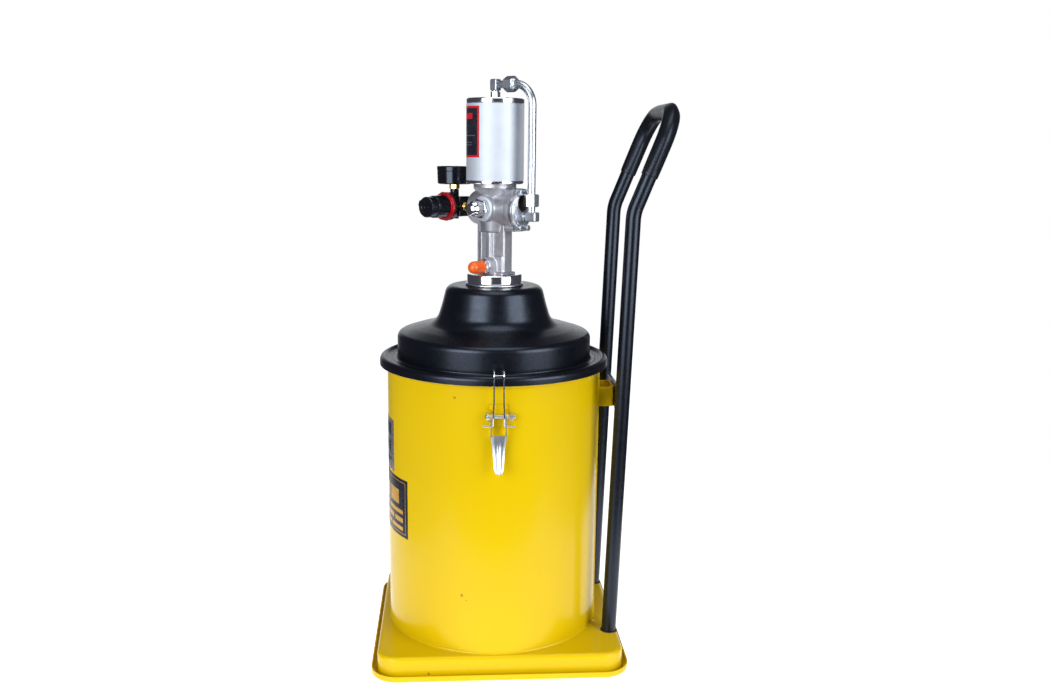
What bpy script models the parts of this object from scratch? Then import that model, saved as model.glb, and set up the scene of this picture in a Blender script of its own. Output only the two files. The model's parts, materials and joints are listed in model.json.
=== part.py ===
"""Air-operated oil pump standing on a drum, with a push handle.

Run it with blender --background --python part.py, or from Blender's text editor.

Lengths are metres. Heights are measured from the top face of the base pan, and
distances across from the drum's axis: the empty drum_axis carries both into the
world, where the whole unit stands on z = 0 with its bounding box centred on the
origin. The handle is at +X. The pump head is turned on the drum, and the empty
pump_axis carries that turn: in its frame the outlet faces -Y, the valve cover
faces +X and the air inlet faces -X.
"""

import math

import bmesh
import bpy
from mathutils import Matrix, Vector

# ---- driving dimensions ----
GAP = 0.0003                    # kept between pieces that touch
SHEET = 0.0018                  # wall of the pressed and rolled steel

BASE_HEIGHT = 0.034
BASE_LEFT, BASE_RIGHT = 0.172, 0.185
BASE_HALF_WIDTH = 0.166
BASE_CORNER = 0.030
BASE_LIP = 0.007                # inner face of the turned-up lip, out from the wall
BASE_GROUND = 0.00005           # ground off under the foot, so that it stands flat

DRUM_RADIUS = 0.160
DRUM_TOP = 0.401
LID_RADIUS = 0.171
LID_BOTTOM = 0.397
LID_LEDGE = 0.4062
LID_RIDGE = 0.4102
LID_TOP = 0.5142

HANDLE_RADIUS = 0.011
HANDLE_HALF_WIDTH = 0.089
HANDLE_FOOT_X = 0.1723
HANDLE_LEAN = math.radians(1.7)
HANDLE_BEND_Z = 0.627
HANDLE_TILT = math.radians(21.7)
HANDLE_TOP_Z = 0.768
HANDLE_CORNER = 0.050
GRIP_RADIUS = 0.013
GRIP_END_Z = 0.677

LATCH_RADIUS = 0.1665           # from the drum's axis out to the lever's pivot
LATCH_Z = 0.354
BAIL_WIRE = 0.0012
BAIL_OUT, BAIL_DOWN = 0.0025, 0.013     # the bail's pivot, seen from the lever's

PUMP_TURN = math.radians(-42.5)
FLANGE_RADIUS = 0.041
FLANGE_TOP = 0.531
HEAD_Z = 0.6275                 # height of the valve barrel and of the detent's axis
VALVE_Z = 0.6262                # height of the valve cover's centre
VALVE_RADIUS = 0.025
VALVE_FACE = 0.046
COVER_FACE = 0.054
COVER_BOLT_Y, COVER_BOLT_Z = 0.008, 0.0255
MUFFLER_RISE = 0.0105
ELBOW_DROP = -0.0085
FRONT_BOSS = 0.0255

MOTOR_RADIUS = 0.042
MOTOR_BORE = 0.038
MOTOR_BOTTOM = 0.663
MOTOR_TOP = 0.784
PISTON_BOTTOM = 0.671
PISTON_HEIGHT = 0.014
ROD_RADIUS = 0.005
PUMP_TUBE_BOTTOM = 0.028
PLUNGER_BOTTOM = 0.040

TRANSFER_OUT = 0.068            # the transfer tube's upright, out from the pump's axis
TRANSFER_Z = 0.8035
TRANSFER_BEND = 0.031
TRANSFER_RADIUS = 0.0058

OUTLET_Z = 0.5430
OUTLET_FACE = 0.020

REGULATOR_OUT = 0.080
REGULATOR_Z = 0.6272
REGULATOR_NEAR, REGULATOR_FAR = 0.058, 0.104
GAUGE_RADIUS = 0.0265
GAUGE_STEM, GAUGE_BOTTOM, GAUGE_TOP = 0.6525, 0.660, 0.6865
DIAL_Z = 0.6785

# ---- what follows from them ----
BEND_X = HANDLE_FOOT_X + HANDLE_BEND_Z * math.tan(HANDLE_LEAN)
HANDLE_TOP_X = BEND_X + (HANDLE_TOP_Z - HANDLE_BEND_Z) * math.tan(HANDLE_TILT)
BASE_RIM = BASE_LIP + SHEET
DRUM_X = -(HANDLE_TOP_X + GRIP_RADIUS - BASE_LEFT - BASE_RIM) / 2

UP = (0, 0, 0)
FRONT = (math.pi / 2, 0, 0)         # turns +Z to -Y
RIGHT = (0, math.pi / 2, 0)         # turns +Z to +X
LEFT = (0, -math.pi / 2, 0)         # turns +Z to -X
# turns the XY plane upright, so that x runs out from the drum to -Y and y runs up
PROFILE = tuple(Matrix(((0, 0, -1), (-1, 0, 0), (0, 1, 0))).to_euler())

COLOURS = {                         # base colour, metallic, roughness
    "yellow_paint": ((0.84, 0.62, 0.01), 0.0, 0.22),
    "black_paint": ((0.012, 0.014, 0.020), 0.0, 0.42),
    "chrome": ((0.82, 0.83, 0.85), 1.0, 0.08),
    "cast_aluminium": ((0.42, 0.42, 0.45), 1.0, 0.50),
    "satin_aluminium": ((0.72, 0.73, 0.76), 1.0, 0.32),
    "zinc_steel": ((0.66, 0.68, 0.72), 1.0, 0.24),
    "rod_steel": ((0.60, 0.61, 0.63), 1.0, 0.18),
    "brass": ((0.80, 0.55, 0.18), 1.0, 0.25),
    "bronze": ((0.45, 0.26, 0.08), 1.0, 0.60),
    "black_plastic": ((0.016, 0.016, 0.020), 0.0, 0.38),
    "red_ring": ((0.50, 0.01, 0.02), 0.0, 0.35),
    "orange_plastic": ((0.80, 0.13, 0.01), 0.0, 0.40),
    "rubber": ((0.02, 0.02, 0.02), 0.0, 0.70),
    "clear": ((0.90, 0.92, 0.92), 0.0, 0.03),
}

PARTS = bpy.data.collections.new("oil_pump")
CUTTERS = bpy.data.collections.new("cutters")


# ---- helpers ----
def clear_scene():
    for obj in list(bpy.data.objects):
        bpy.data.objects.remove(obj, do_unlink=True)
    for collection in (PARTS, CUTTERS):
        bpy.context.scene.collection.children.link(collection)


def material(slot):
    """The slot's Principled material, made the first time that it is asked for."""
    found = bpy.data.materials.get(slot)
    if found:
        return found
    colour, metallic, roughness = COLOURS[slot]
    made = bpy.data.materials.new(slot)
    made.use_nodes = True
    shader = made.node_tree.nodes["Principled BSDF"]
    shader.inputs["Base Color"].default_value = (*colour, 1)
    shader.inputs["Metallic"].default_value = metallic
    shader.inputs["Roughness"].default_value = roughness
    return made


def empty(name, parent=None, place=(0, 0, 0), turn=UP):
    axis = bpy.data.objects.new(name, None)
    PARTS.objects.link(axis)
    axis.parent = parent
    axis.location = place
    axis.rotation_euler = turn
    return axis


def add(name, data, parent, place=(0, 0, 0), turn=UP, slot=None):
    """Puts data in the scene as a part with its material or, with no slot, as a helper for a Boolean."""
    obj = bpy.data.objects.new(name, data)
    (PARTS if slot else CUTTERS).objects.link(obj)
    obj.parent = parent
    obj.location = place
    obj.rotation_euler = turn
    if slot:
        data.materials.append(material(slot))
    else:
        obj.hide_render = True
        obj.display_type = "WIRE"
    return obj


def fillet(corners, closed=False, steps=4):
    """The path through corners (x, y, radius) or (x, y, z, radius), with an arc at each corner that has a radius."""
    points = [Vector((*corner[:-1], 0)[:3]) for corner in corners]
    path = []
    for i, corner in enumerate(corners):
        here, radius = points[i], corner[-1]
        at_end = not closed and i in (0, len(points) - 1)
        if at_end or not radius:
            path.append(here)
            continue
        back = (points[i - 1] - here).normalized()
        ahead = (points[(i + 1) % len(points)] - here).normalized()
        half = back.angle(ahead) / 2
        centre = here + (back + ahead).normalized() * radius / math.sin(half)
        start = (here + back * radius / math.tan(half) - centre).normalized()
        end = (here + ahead * radius / math.tan(half) - centre).normalized()
        path += [centre + start.slerp(end, k / steps) * radius for k in range(steps + 1)]
    return path


def turned(name, corners, parent, place=(0, 0, 0), turn=UP, slot=None, steps=16, closed=False, arc=1):
    """A turned solid from corners (radius, height, fillet), which run down its outer side.

    An open outline starts and ends on the axis, and a closed one is a ring.
    """
    outline = fillet(corners, closed, arc)
    mesh = bpy.data.meshes.new(name)
    edges = [(i, i + 1) for i in range(len(outline) - 1)]
    if closed:
        edges.append((len(outline) - 1, 0))
    mesh.from_pydata([(p.x, 0, p.y) for p in outline], edges, [])
    obj = add(name, mesh, parent, place, turn, slot)
    screw = obj.modifiers.new("turn", "SCREW")
    screw.steps = screw.render_steps = steps
    screw.use_merge_vertices = True
    screw.merge_threshold = 0.00001
    return obj


def ring(inner, outer, bottom, top, bevel=0.0):
    """The corners of a ring for turned, with its outer edges rounded by bevel."""
    return [(inner, top, 0), (outer, top, bevel), (outer, bottom, bevel), (inner, bottom, 0)]


def rod(outer, bottom, top, bevel=0.0):
    """The corners of a solid round bar for turned."""
    return [(0, top, 0), (outer, top, bevel), (outer, bottom, bevel), (0, bottom, 0)]


def prism(name, radius, low, high, parent, place=(0, 0, 0), turn=UP, slot=None, sides=16, radius_high=None):
    """A cylinder or, with 6 sides, a hexagon across its corners, from low to high along its own Z."""
    shape = bmesh.new()
    bmesh.ops.create_cone(
        shape, cap_ends=True, segments=sides, radius1=radius,
        radius2=radius if radius_high is None else radius_high, depth=high - low,
        matrix=Matrix.Translation((0, 0, (low + high) / 2)),
    )
    return finish_mesh(name, shape, parent, place, turn, slot)


def hexagon(name, across_flats, low, high, parent, place=(0, 0, 0), turn=UP, slot=None):
    return prism(name, across_flats / math.sqrt(3), low, high, parent, place, turn, slot, sides=6)


def box(name, low, high, parent, place=(0, 0, 0), turn=UP, slot=None, bevel=0.0):
    shape = bmesh.new()
    low, high = Vector(low), Vector(high)
    size = high - low
    bmesh.ops.create_cube(
        shape, size=1, matrix=Matrix.Translation((low + high) / 2) @ Matrix.Diagonal((*size, 1))
    )
    if bevel:
        bmesh.ops.bevel(shape, geom=shape.edges[:], offset=bevel, segments=2, profile=0.5, affect="EDGES")
    return finish_mesh(name, shape, parent, place, turn, slot)


def finish_mesh(name, shape, parent, place, turn, slot, closed=True):
    """Makes a part of the bmesh. An open surface keeps the side that its faces were built to face."""
    if closed:
        bmesh.ops.recalc_face_normals(shape, faces=shape.faces)
    mesh = bpy.data.meshes.new(name)
    shape.to_mesh(mesh)
    shape.free()
    mesh.shade_smooth()
    mesh.set_sharp_from_angle(angle=math.radians(35))
    return add(name, mesh, parent, place, turn, slot)


def as_mesh(curve):
    """Swaps a curve object for a mesh of the same shape, with its caps welded on."""
    bpy.context.view_layer.update()
    mesh = bpy.data.meshes.new_from_object(curve.evaluated_get(bpy.context.evaluated_depsgraph_get()))
    shape = bmesh.new()
    shape.from_mesh(mesh)
    bmesh.ops.remove_doubles(shape, verts=shape.verts, dist=0.000001)
    shape.to_mesh(mesh)
    shape.free()
    name, parent, place, turn = curve.name, curve.parent, curve.location[:], curve.rotation_euler[:]
    slot = mesh.materials[0].name if mesh.materials else None
    mesh.materials.clear()
    bpy.data.objects.remove(curve, do_unlink=True)
    return add(name, mesh, parent, place, turn, slot)


def slab(name, corners, low, high, parent, place=(0, 0, 0), turn=UP, slot=None):
    """A flat outline (x, y, fillet), filled and extruded from low to high along its own Z."""
    curve = bpy.data.curves.new(name, "CURVE")
    curve.dimensions = "2D"
    curve.fill_mode = "BOTH"
    curve.extrude = (high - low) / 2
    spline = curve.splines.new("POLY")
    points = fillet(corners, closed=True, steps=2)
    spline.points.add(len(points) - 1)
    for target, point in zip(spline.points, points):
        target.co = (point.x, point.y, 0, 1)
    spline.use_cyclic_u = True
    made = as_mesh(add(name, curve, parent, place, turn, slot))
    made.data.transform(Matrix.Translation((0, 0, (low + high) / 2)))
    return made


def pipe(name, points, radius, parent, place=(0, 0, 0), turn=UP, slot=None, resolution=2, capped=True):
    """A round bar or, if it isn't capped, an open tube surface along points, as a mesh."""
    curve = bpy.data.curves.new(name, "CURVE")
    curve.dimensions = "3D"
    curve.bevel_depth = radius
    curve.bevel_resolution = resolution
    curve.use_fill_caps = capped
    spline = curve.splines.new("POLY")
    spline.points.add(len(points) - 1)
    for target, point in zip(spline.points, points):
        target.co = (*point, 1)
    return as_mesh(add(name, curve, parent, place, turn, slot))


def hollow(obj, wall):
    """Gives an open surface its wall, on the inside."""
    solidify = obj.modifiers.new("wall", "SOLIDIFY")
    solidify.thickness = wall
    solidify.offset = -1
    solidify.use_even_offset = True
    return obj


def boolean(obj, operation, others):
    """Adds one Boolean after another, each with a Weld that closes the hairline gaps it leaves."""
    for other in others:
        modifier = obj.modifiers.new(other.name, "BOOLEAN")
        modifier.operation = operation
        modifier.solver = "EXACT"
        modifier.object = other
        weld = obj.modifiers.new("weld", "WELD")
        weld.merge_threshold = 0.000003
    return obj


def cut(obj, *others):
    return boolean(obj, "DIFFERENCE", others)


def join(obj, *others):
    return boolean(obj, "UNION", others)


# ---- base and drum ----
def build_base(axis):
    """The pressed pan under the drum, with a lip turned up all round its foot."""
    foot = SHEET - BASE_HEIGHT - BASE_GROUND
    section = [                     # how far out from the wall, and how high
        (-0.0050, 0.0), (-0.0015, -0.0012), (0.0, -0.0050), (0.0016, foot + 0.0036), (0.0032, foot),
        (BASE_LIP - 0.0020, foot), (BASE_LIP, foot + 0.0024), (BASE_LIP, foot + 0.0085),
    ]
    shape = bmesh.new()
    loops = []
    for out, height in section:
        left, right, side = -BASE_LEFT - out, BASE_RIGHT + out, BASE_HALF_WIDTH + out
        corner = BASE_CORNER + out
        outline = fillet(
            [(left, -side, corner), (right, -side, corner), (right, side, corner), (left, side, corner)],
            closed=True, steps=4,
        )
        loops.append([shape.verts.new((p.x, p.y, height)) for p in outline])
    shape.faces.new(loops[0])
    for upper, lower in zip(loops, loops[1:]):
        for i in range(len(upper)):
            shape.faces.new((upper[i - 1], lower[i - 1], lower[i], upper[i]))
    pan = hollow(finish_mesh("base_pan", shape, axis, (0, 0, 0), UP, "yellow_paint", closed=False), SHEET)
    cut(pan, box("ground", (-0.3, -0.3, -BASE_HEIGHT - 0.010), (0.3, 0.3, -BASE_HEIGHT), axis))
    for side in (-1, 1):
        cut(pan, prism("leg_hole", HANDLE_RADIUS + 0.0016, -0.012, 0.006, axis,
                       (HANDLE_FOOT_X, side * HANDLE_HALF_WIDTH, 0)))


def build_drum(axis):
    wall = DRUM_RADIUS - SHEET
    bead = DRUM_RADIUS + 0.003
    turned("drum", [
        (0, GAP + SHEET, 0), (wall, GAP + SHEET, 0), (wall, DRUM_TOP, 0),
        (bead, DRUM_TOP, 0.0012), (bead, DRUM_TOP - 0.006, 0.0012), (DRUM_RADIUS, DRUM_TOP - 0.008, 0),
        (DRUM_RADIUS, GAP, 0), (0, GAP, 0),
    ], axis, slot="yellow_paint", steps=32)
    turned("lid_gasket", ring(DRUM_RADIUS - 0.0025, DRUM_RADIUS + 0.0035, DRUM_TOP + GAP,
                              LID_LEDGE - SHEET - GAP, 0.0006),
           axis, slot="rubber", steps=32, closed=True)


def build_lid(axis):
    """The spun lid: flat crown, cone, shallow dome, step, ledge for the bails, ridge and skirt."""
    step = LID_RADIUS - 0.0265
    lid = turned("lid", [
        (0.024, LID_TOP, 0), (0.0706, LID_TOP, 0.011), (0.0854, 0.459, 0.020), (0.118, 0.4515, 0.060),
        (step, 0.4435, 0.009), (step, LID_LEDGE, 0.0025), (LID_RADIUS - 0.0115, LID_LEDGE, 0.003),
        (LID_RADIUS - 0.008, LID_RIDGE, 0.0022), (LID_RADIUS, LID_RIDGE, 0.0064), (LID_RADIUS, LID_BOTTOM, 0),
    ], axis, slot="black_paint", steps=32)
    hollow(lid, SHEET)


# ---- handle ----
def handle_path(start_z):
    """The handle's centre line from start_z on one side, over the top bar and down the other side."""
    def leg_x(z):
        if z <= HANDLE_BEND_Z:
            return HANDLE_FOOT_X + z * math.tan(HANDLE_LEAN)
        return BEND_X + (z - HANDLE_BEND_Z) * math.tan(HANDLE_TILT)

    side = [(leg_x(start_z), start_z, 0)]
    if start_z < HANDLE_BEND_Z:
        side.append((BEND_X, HANDLE_BEND_Z, 0.060))
    side.append((HANDLE_TOP_X, HANDLE_TOP_Z, HANDLE_CORNER))
    front = [(x, -HANDLE_HALF_WIDTH, z, radius) for x, z, radius in side]
    rear = [(x, HANDLE_HALF_WIDTH, z, radius) for x, z, radius in reversed(side)]
    return fillet(front + rear, steps=6)


def build_handle(axis):
    tube = pipe("handle_tube", handle_path(-0.027), HANDLE_RADIUS, axis, slot="black_paint", capped=False)
    hollow(tube, 0.0015)
    grip = pipe("handle_grip", handle_path(GRIP_END_Z), GRIP_RADIUS, axis, slot="black_plastic",
                resolution=2, capped=False)
    hollow(grip, GRIP_RADIUS - HANDLE_RADIUS - 0.0005)

    # The channel welded to the drum, and the flat bar that joins the legs and bolts to it.
    outer, low, high = 0.181, 0.332, 0.362
    bracket = box("handle_bracket", (0.140, -0.024, low), (outer, 0.024, high), axis,
                  slot="yellow_paint", bevel=0.002)
    cut(bracket,
        box("bracket_hollow", (0.130, -0.0215, low - 0.01), (outer - 0.0025, 0.0215, high + 0.01), axis),
        prism("drum_clearance", DRUM_RADIUS + GAP, low - 0.01, high + 0.01, axis, sides=96))
    bar = box("handle_crossbar", (outer + GAP, -0.0776, 0.331), (outer + 0.005, 0.0776, 0.368), axis,
              slot="black_paint", bevel=0.0008)
    for label, side in (("front", -1), ("rear", 1)):
        place = (0, side * 0.012, 0.347)
        cut(bracket, prism("bolt_hole", 0.0043, 0.170, 0.200, axis, place, RIGHT, sides=16))
        cut(bar, prism("bar_hole", 0.0043, 0.170, 0.200, axis, place, RIGHT, sides=16))
        bolt = hexagon("bracket_bolt_" + label, 0.013, outer + 0.0053, outer + 0.0105, axis, place, RIGHT,
                       "zinc_steel")
        join(bolt, prism("bolt_shank", 0.004, 0.172, outer + 0.007, axis, place, RIGHT, sides=16))


# ---- latches ----
def bail_path():
    """The bail's wire from end to end, seen from its own pivot."""
    crossbar = (LATCH_RADIUS + BAIL_OUT - 0.1530, LID_LEDGE + BAIL_WIRE + GAP - LATCH_Z + BAIL_DOWN)
    run = LID_RADIUS + 0.0028 - LATCH_RADIUS - BAIL_OUT     # how far the wire stands out in front of the rim
    rise = LID_RIDGE + 0.0075 - LATCH_Z + BAIL_DOWN
    half = [                        # across, out, up, fillet
        (-0.0220, 0, 0, 0), (-0.0078, 0, 0, 0.0020), (-0.0078, 0.0028, 0.012, 0.010),
        (-0.0067, run, 0.034, 0.020), (-0.0067, run, rise, 0.0065),
        (-0.0067, -crossbar[0], rise, 0.0045), (-0.0067, -crossbar[0], crossbar[1], 0.0018),
    ]
    whole = half + [(-across, out, up, radius) for across, out, up, radius in reversed(half)]
    return fillet([(across, -out, up, radius) for across, out, up, radius in whole], steps=2)


def build_lever(name, latch, place):
    """Two ears on a tapering, grooved tongue, pressed from one strip."""
    rows = [                        # out, up, half width, depth of the groove
        (0.0062, -0.0220, 0.0109, 0.0), (0.0064, -0.0320, 0.0106, 0.0003), (0.0066, -0.0420, 0.0092, 0.0010),
        (0.0080, -0.0540, 0.0078, 0.0012), (0.0112, -0.0660, 0.0072, 0.0012),
        (0.0140, -0.0740, 0.0062, 0.0008), (0.0150, -0.0785, 0.0036, 0.0002),
    ]
    shape = bmesh.new()
    loops = []
    for out, up, half, groove in rows:
        section = ((-1, 0.0012), (-0.6, 0), (0, groove), (0.6, 0), (1, 0.0012))
        loops.append([shape.verts.new((half * across, -out + dip, up)) for across, dip in section])
    for upper, lower in zip(loops, loops[1:]):
        for i in range(len(upper) - 1):
            shape.faces.new((upper[i], lower[i], lower[i + 1], upper[i + 1]))
    lever = hollow(finish_mesh(name, shape, latch, place, UP, "zinc_steel", closed=False), 0.0013)
    ear = [(-0.0043, 0.0043, 0.0042), (-0.0030, -0.0140, 0.0030), (0.0020, -0.0270, 0.0015),
           (0.0070, -0.0270, 0.0010), (0.0070, -0.0150, 0), (0.0042, 0.0043, 0.0042)]
    for low, high in ((-0.0109, -0.0096), (0.0096, 0.0109)):
        join(lever, slab("lever_ear", ear, low, high, latch, place, PROFILE))
    pivot = (place[0], place[1] - BAIL_OUT, place[2] - BAIL_DOWN)
    cut(lever,
        prism("pivot_hole", 0.0028, -0.02, 0.02, latch, place, RIGHT, sides=16),
        prism("bail_hole", BAIL_WIRE + GAP, -0.02, 0.02, latch, pivot, RIGHT, sides=12))


def build_latch(label, axis, turn):
    latch = empty("latch_" + label, axis, turn=(0, 0, turn))
    place = (0, -LATCH_RADIUS, LATCH_Z)
    bracket = box("latch_bracket_" + label, (-0.0129, -DRUM_RADIUS - 0.0018, -0.016),
                  (0.0129, -DRUM_RADIUS - GAP, 0.016), latch, (0, 0, LATCH_Z), slot="yellow_paint")
    ear = [(0.0044, 0.0044, 0.0043), (-0.0060, 0.0100, 0), (-0.0060, -0.0100, 0), (0.0044, -0.0044, 0.0043)]
    for low, high in ((-0.0129, -0.0114), (0.0114, 0.0129)):
        join(bracket, slab("bracket_ear", ear, low, high, latch, place, PROFILE))
    cut(bracket, prism("ear_hole", 0.0028, -0.02, 0.02, latch, place, RIGHT, sides=16))
    bolt = prism("latch_pivot_" + label, 0.0025, -0.0140, 0.0236, latch, place, RIGHT, "zinc_steel", sides=16)
    join(bolt, turned("bolt_head", rod(0.0052, -0.0184, -0.0134, 0.0014), latch, place, RIGHT, steps=16))
    nut = hexagon("latch_nut_" + label, 0.0095, 0.0145, 0.0197, latch, place, RIGHT, "zinc_steel")
    cut(nut, prism("nut_hole", 0.0028, 0.010, 0.025, latch, place, RIGHT, sides=16))
    build_lever("latch_lever_" + label, latch, place)
    pipe("latch_bail_" + label, bail_path(), BAIL_WIRE, latch,
         (0, place[1] - BAIL_OUT, place[2] - BAIL_DOWN), slot="zinc_steel", resolution=1)


# ---- pump body and lower pump ----
def build_lower_pump(pump):
    """What hangs in the oil: the tube, its nut under the lid, the plunger and the foot valve."""
    neck, tube, bore = 0.0195, 0.015, 0.011
    seat = LID_TOP + GAP
    turned("flange_gasket", ring(neck + GAP, FLANGE_RADIUS + 0.0022, seat, seat + 0.0027, 0.0008), pump,
           slot="zinc_steel", steps=24, closed=True)
    turned("pump_flange", ring(neck + GAP, FLANGE_RADIUS, seat + 0.003, FLANGE_TOP, 0.0015), pump,
           slot="chrome", steps=24, closed=True)
    turned("pump_tube", [
        (bore, FLANGE_TOP - 0.0001, 0), (neck, FLANGE_TOP - 0.0001, 0), (neck, 0.494, 0.001),
        (tube, 0.492, 0), (tube, PUMP_TUBE_BOTTOM, 0), (bore, PUMP_TUBE_BOTTOM, 0),
    ], pump, slot="rod_steel", closed=True)
    nut = hexagon("pump_lock_nut", 0.056, 0.499, LID_TOP - SHEET - GAP, pump, slot="zinc_steel")
    cut(nut, prism("lock_nut_hole", neck + GAP, 0.490, 0.520, pump, sides=24))

    foot_top = PUMP_TUBE_BOTTOM - GAP
    seat_z = 0.0150
    turned("foot_valve", [
        (0.0085, foot_top, 0), (0.0185, foot_top, 0.001), (0.0185, 0.0110, 0.003), (0.0050, 0.0110, 0),
        (0.0050, seat_z, 0), (0.0085, seat_z, 0),
    ], pump, slot="zinc_steel", steps=20, closed=True)
    ball = bmesh.new()
    bmesh.ops.create_uvsphere(ball, u_segments=12, v_segments=8, radius=0.0065)
    finish_mesh("foot_valve_ball", ball, pump, (0, 0, seat_z + 0.0046), UP, "rod_steel")

    turned("pump_plunger", [
        (0, PLUNGER_BOTTOM + 0.022, 0), (0.0070, PLUNGER_BOTTOM + 0.022, 0.001),
        (0.0070, PLUNGER_BOTTOM + 0.014, 0), (0.0106, PLUNGER_BOTTOM + 0.012, 0.001),
        (0.0106, PLUNGER_BOTTOM, 0.0015), (0, PLUNGER_BOTTOM, 0),
    ], pump, slot="bronze", steps=16)


def build_pump_body(pump):
    """The one casting: foot, column, valve barrel lying along X, and the pedestal of the air motor."""
    level = (0, 0, HEAD_Z)
    valve = (0, 0, VALVE_Z)
    column_half, column_depth = 0.0262, 0.0095
    body = turned("pump_body", [
        (0, MOTOR_BOTTOM - GAP, 0), (0.0315, MOTOR_BOTTOM - GAP, 0.001), (0.0315, 0.6555, 0.003),
        (0.0220, 0.6440, 0.008), (0.0160, 0.6200, 0), (0, 0.6200, 0),
    ], pump, slot="cast_aluminium")
    barrel = turned("valve_barrel", [
        (0, 0.040, 0), (VALVE_RADIUS, 0.040, 0), (VALVE_RADIUS, -0.036, 0.014), (0, -0.036, 0),
    ], pump, level, RIGHT, arc=2)
    flare = turned("valve_flange", [
        (0, VALVE_FACE, 0), (0.0265, VALVE_FACE, 0.0012), (0.0265, 0.0400, 0.0012), (0.0235, 0.0330, 0),
        (0, 0.0330, 0),
    ], pump, valve, RIGHT)
    reach = COVER_BOLT_Z + 0.0055
    ears = slab("flange_ears", [
        (-reach, -0.0135, 0.005), (reach, -0.0135, 0.005), (reach, 0.0135, 0.005), (-reach, 0.0135, 0.005),
    ], 0.0395, VALVE_FACE - GAP, pump, valve, RIGHT)
    front_boss = turned("detent_boss", rod(0.0185, 0, FRONT_BOSS, 0.0015), pump, level, FRONT)
    inlet_boss = turned("inlet_boss", rod(0.0130, 0.020, 0.040, 0.001), pump,
                        (0, 0, REGULATOR_Z), LEFT, steps=16)
    column = box("column", (-column_half, -column_depth, FLANGE_TOP + 0.002),
                 (column_half, column_depth, HEAD_Z), pump, bevel=0.0018)
    rib = turned("column_rib", rod(0.0150, FLANGE_TOP + 0.003, HEAD_Z - 0.010), pump)
    shoulder = turned("column_shoulder", [
        (0, HEAD_Z - 0.012, 0), (0.0250, HEAD_Z - 0.012, 0), (0.0185, HEAD_Z - 0.036, 0), (0, HEAD_Z - 0.036, 0),
    ], pump)
    foot = box("column_foot", (-0.0285, -0.0150, FLANGE_TOP + GAP), (0.0285, 0.0150, FLANGE_TOP + 0.0045), pump,
               bevel=0.0012)
    outlet = turned("outlet_boss", rod(0.0108, 0, OUTLET_FACE, 0.001), pump, (0, 0, OUTLET_Z), FRONT)
    join(body, barrel, flare, ears, front_boss, inlet_boss, column, rib, shoulder, foot, outlet)

    cut(body,
        prism("valve_chamber", 0.0175, 0.0110, 0.060, pump, valve, RIGHT),
        prism("rod_bore", ROD_RADIUS + 0.0005, 0.500, 0.700, pump, sides=16),
        prism("outlet_bore", 0.0040, 0.0, 0.030, pump, (0, 0, OUTLET_Z), FRONT, sides=12),
        prism("inlet_bore", 0.0045, 0.008, 0.050, pump, (0, 0, REGULATOR_Z), LEFT, sides=12))
    for side in (-1, 1):
        pocket_x = side * 0.0182
        for face in (-1, 1):
            cut(body, box("column_pocket", (pocket_x - 0.0038, face * column_depth - 0.0045, 0.5400),
                          (pocket_x + 0.0038, face * column_depth + 0.0045, 0.5900), pump, bevel=0.0012))
    for y in (-COVER_BOLT_Y, COVER_BOLT_Y):
        for z in (-COVER_BOLT_Z, COVER_BOLT_Z):
            cut(body, prism("stud_hole", 0.0026, 0.030, 0.060, pump, (0, y, VALVE_Z + z), RIGHT, sides=12))


def build_valve(pump):
    """The slide valve, its cover with the bronze exhaust silencer, and the four bolts."""
    level = (0, 0, VALVE_Z)
    box("slide_valve", (0.0135, -0.0085, -0.0140), (0.0330, 0.0085, 0.0060), pump, level,
        slot="bronze", bevel=0.001)
    inner, outer = VALVE_FACE + GAP, COVER_FACE
    cover = turned("valve_cover", rod(0.0255, inner, outer, 0.0022), pump, level, RIGHT, "zinc_steel")
    reach = COVER_BOLT_Z + 0.0050
    join(cover, slab("cover_ears", [
        (-reach, -0.0130, 0.005), (reach, -0.0130, 0.005), (reach, 0.0130, 0.005), (-reach, 0.0130, 0.005),
    ], inner + GAP, inner + 0.0040, pump, level, RIGHT))
    muffler = (0, 0, VALVE_Z + MUFFLER_RISE)
    elbow = (0, 0, VALVE_Z + ELBOW_DROP)
    cut(cover,
        prism("muffler_seat", 0.0120, 0.0485, 0.060, pump, muffler, RIGHT),
        prism("exhaust_port", 0.0060, 0.040, 0.050, pump, muffler, RIGHT, sides=16),
        prism("elbow_port", 0.0058, 0.040, 0.060, pump, elbow, RIGHT, sides=16))
    turned("exhaust_muffler", rod(0.0117, 0.0485 + GAP, 0.0515, 0.0008), pump, muffler, RIGHT, "bronze")
    number = 0
    for y in (-COVER_BOLT_Y, COVER_BOLT_Y):
        for z in (-COVER_BOLT_Z, COVER_BOLT_Z):
            number += 1
            place = (0, y, VALVE_Z + z)
            head = inner + 0.0040 + GAP
            cut(cover,
                prism("cover_hole", 0.0026, 0.040, 0.060, pump, place, RIGHT, sides=12),
                prism("spot_face", 0.0048, head - GAP, 0.060, pump, place, RIGHT, sides=16))
            bolt = turned(f"cover_bolt_{number}", rod(0.0042, head, head + 0.0072, 0.0007), pump, place, RIGHT,
                          "zinc_steel", steps=12)
            join(bolt, prism("cover_shank", 0.0023, 0.0320, head + 0.001, pump, place, RIGHT, sides=12))
            cut(bolt, hexagon("bolt_socket", 0.0040, head + 0.0040, head + 0.010, pump, place, RIGHT))


def build_detent(pump):
    level = (0, 0, HEAD_Z)
    seat = FRONT_BOSS + GAP
    turned("detent_washer", rod(0.0178, seat, seat + 0.0028, 0.0009), pump, level, FRONT, "chrome")
    cap = hexagon("detent_cap", 0.0260, seat + 0.0031, seat + 0.0105, pump, level, FRONT, "chrome")
    join(cap, turned("cap_dome", [
        (0, 0.0570, 0), (0.0120, 0.0570, 0.0105), (0.0120, seat + 0.0090, 0), (0, seat + 0.0090, 0),
    ], pump, level, FRONT, arc=4))


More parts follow.
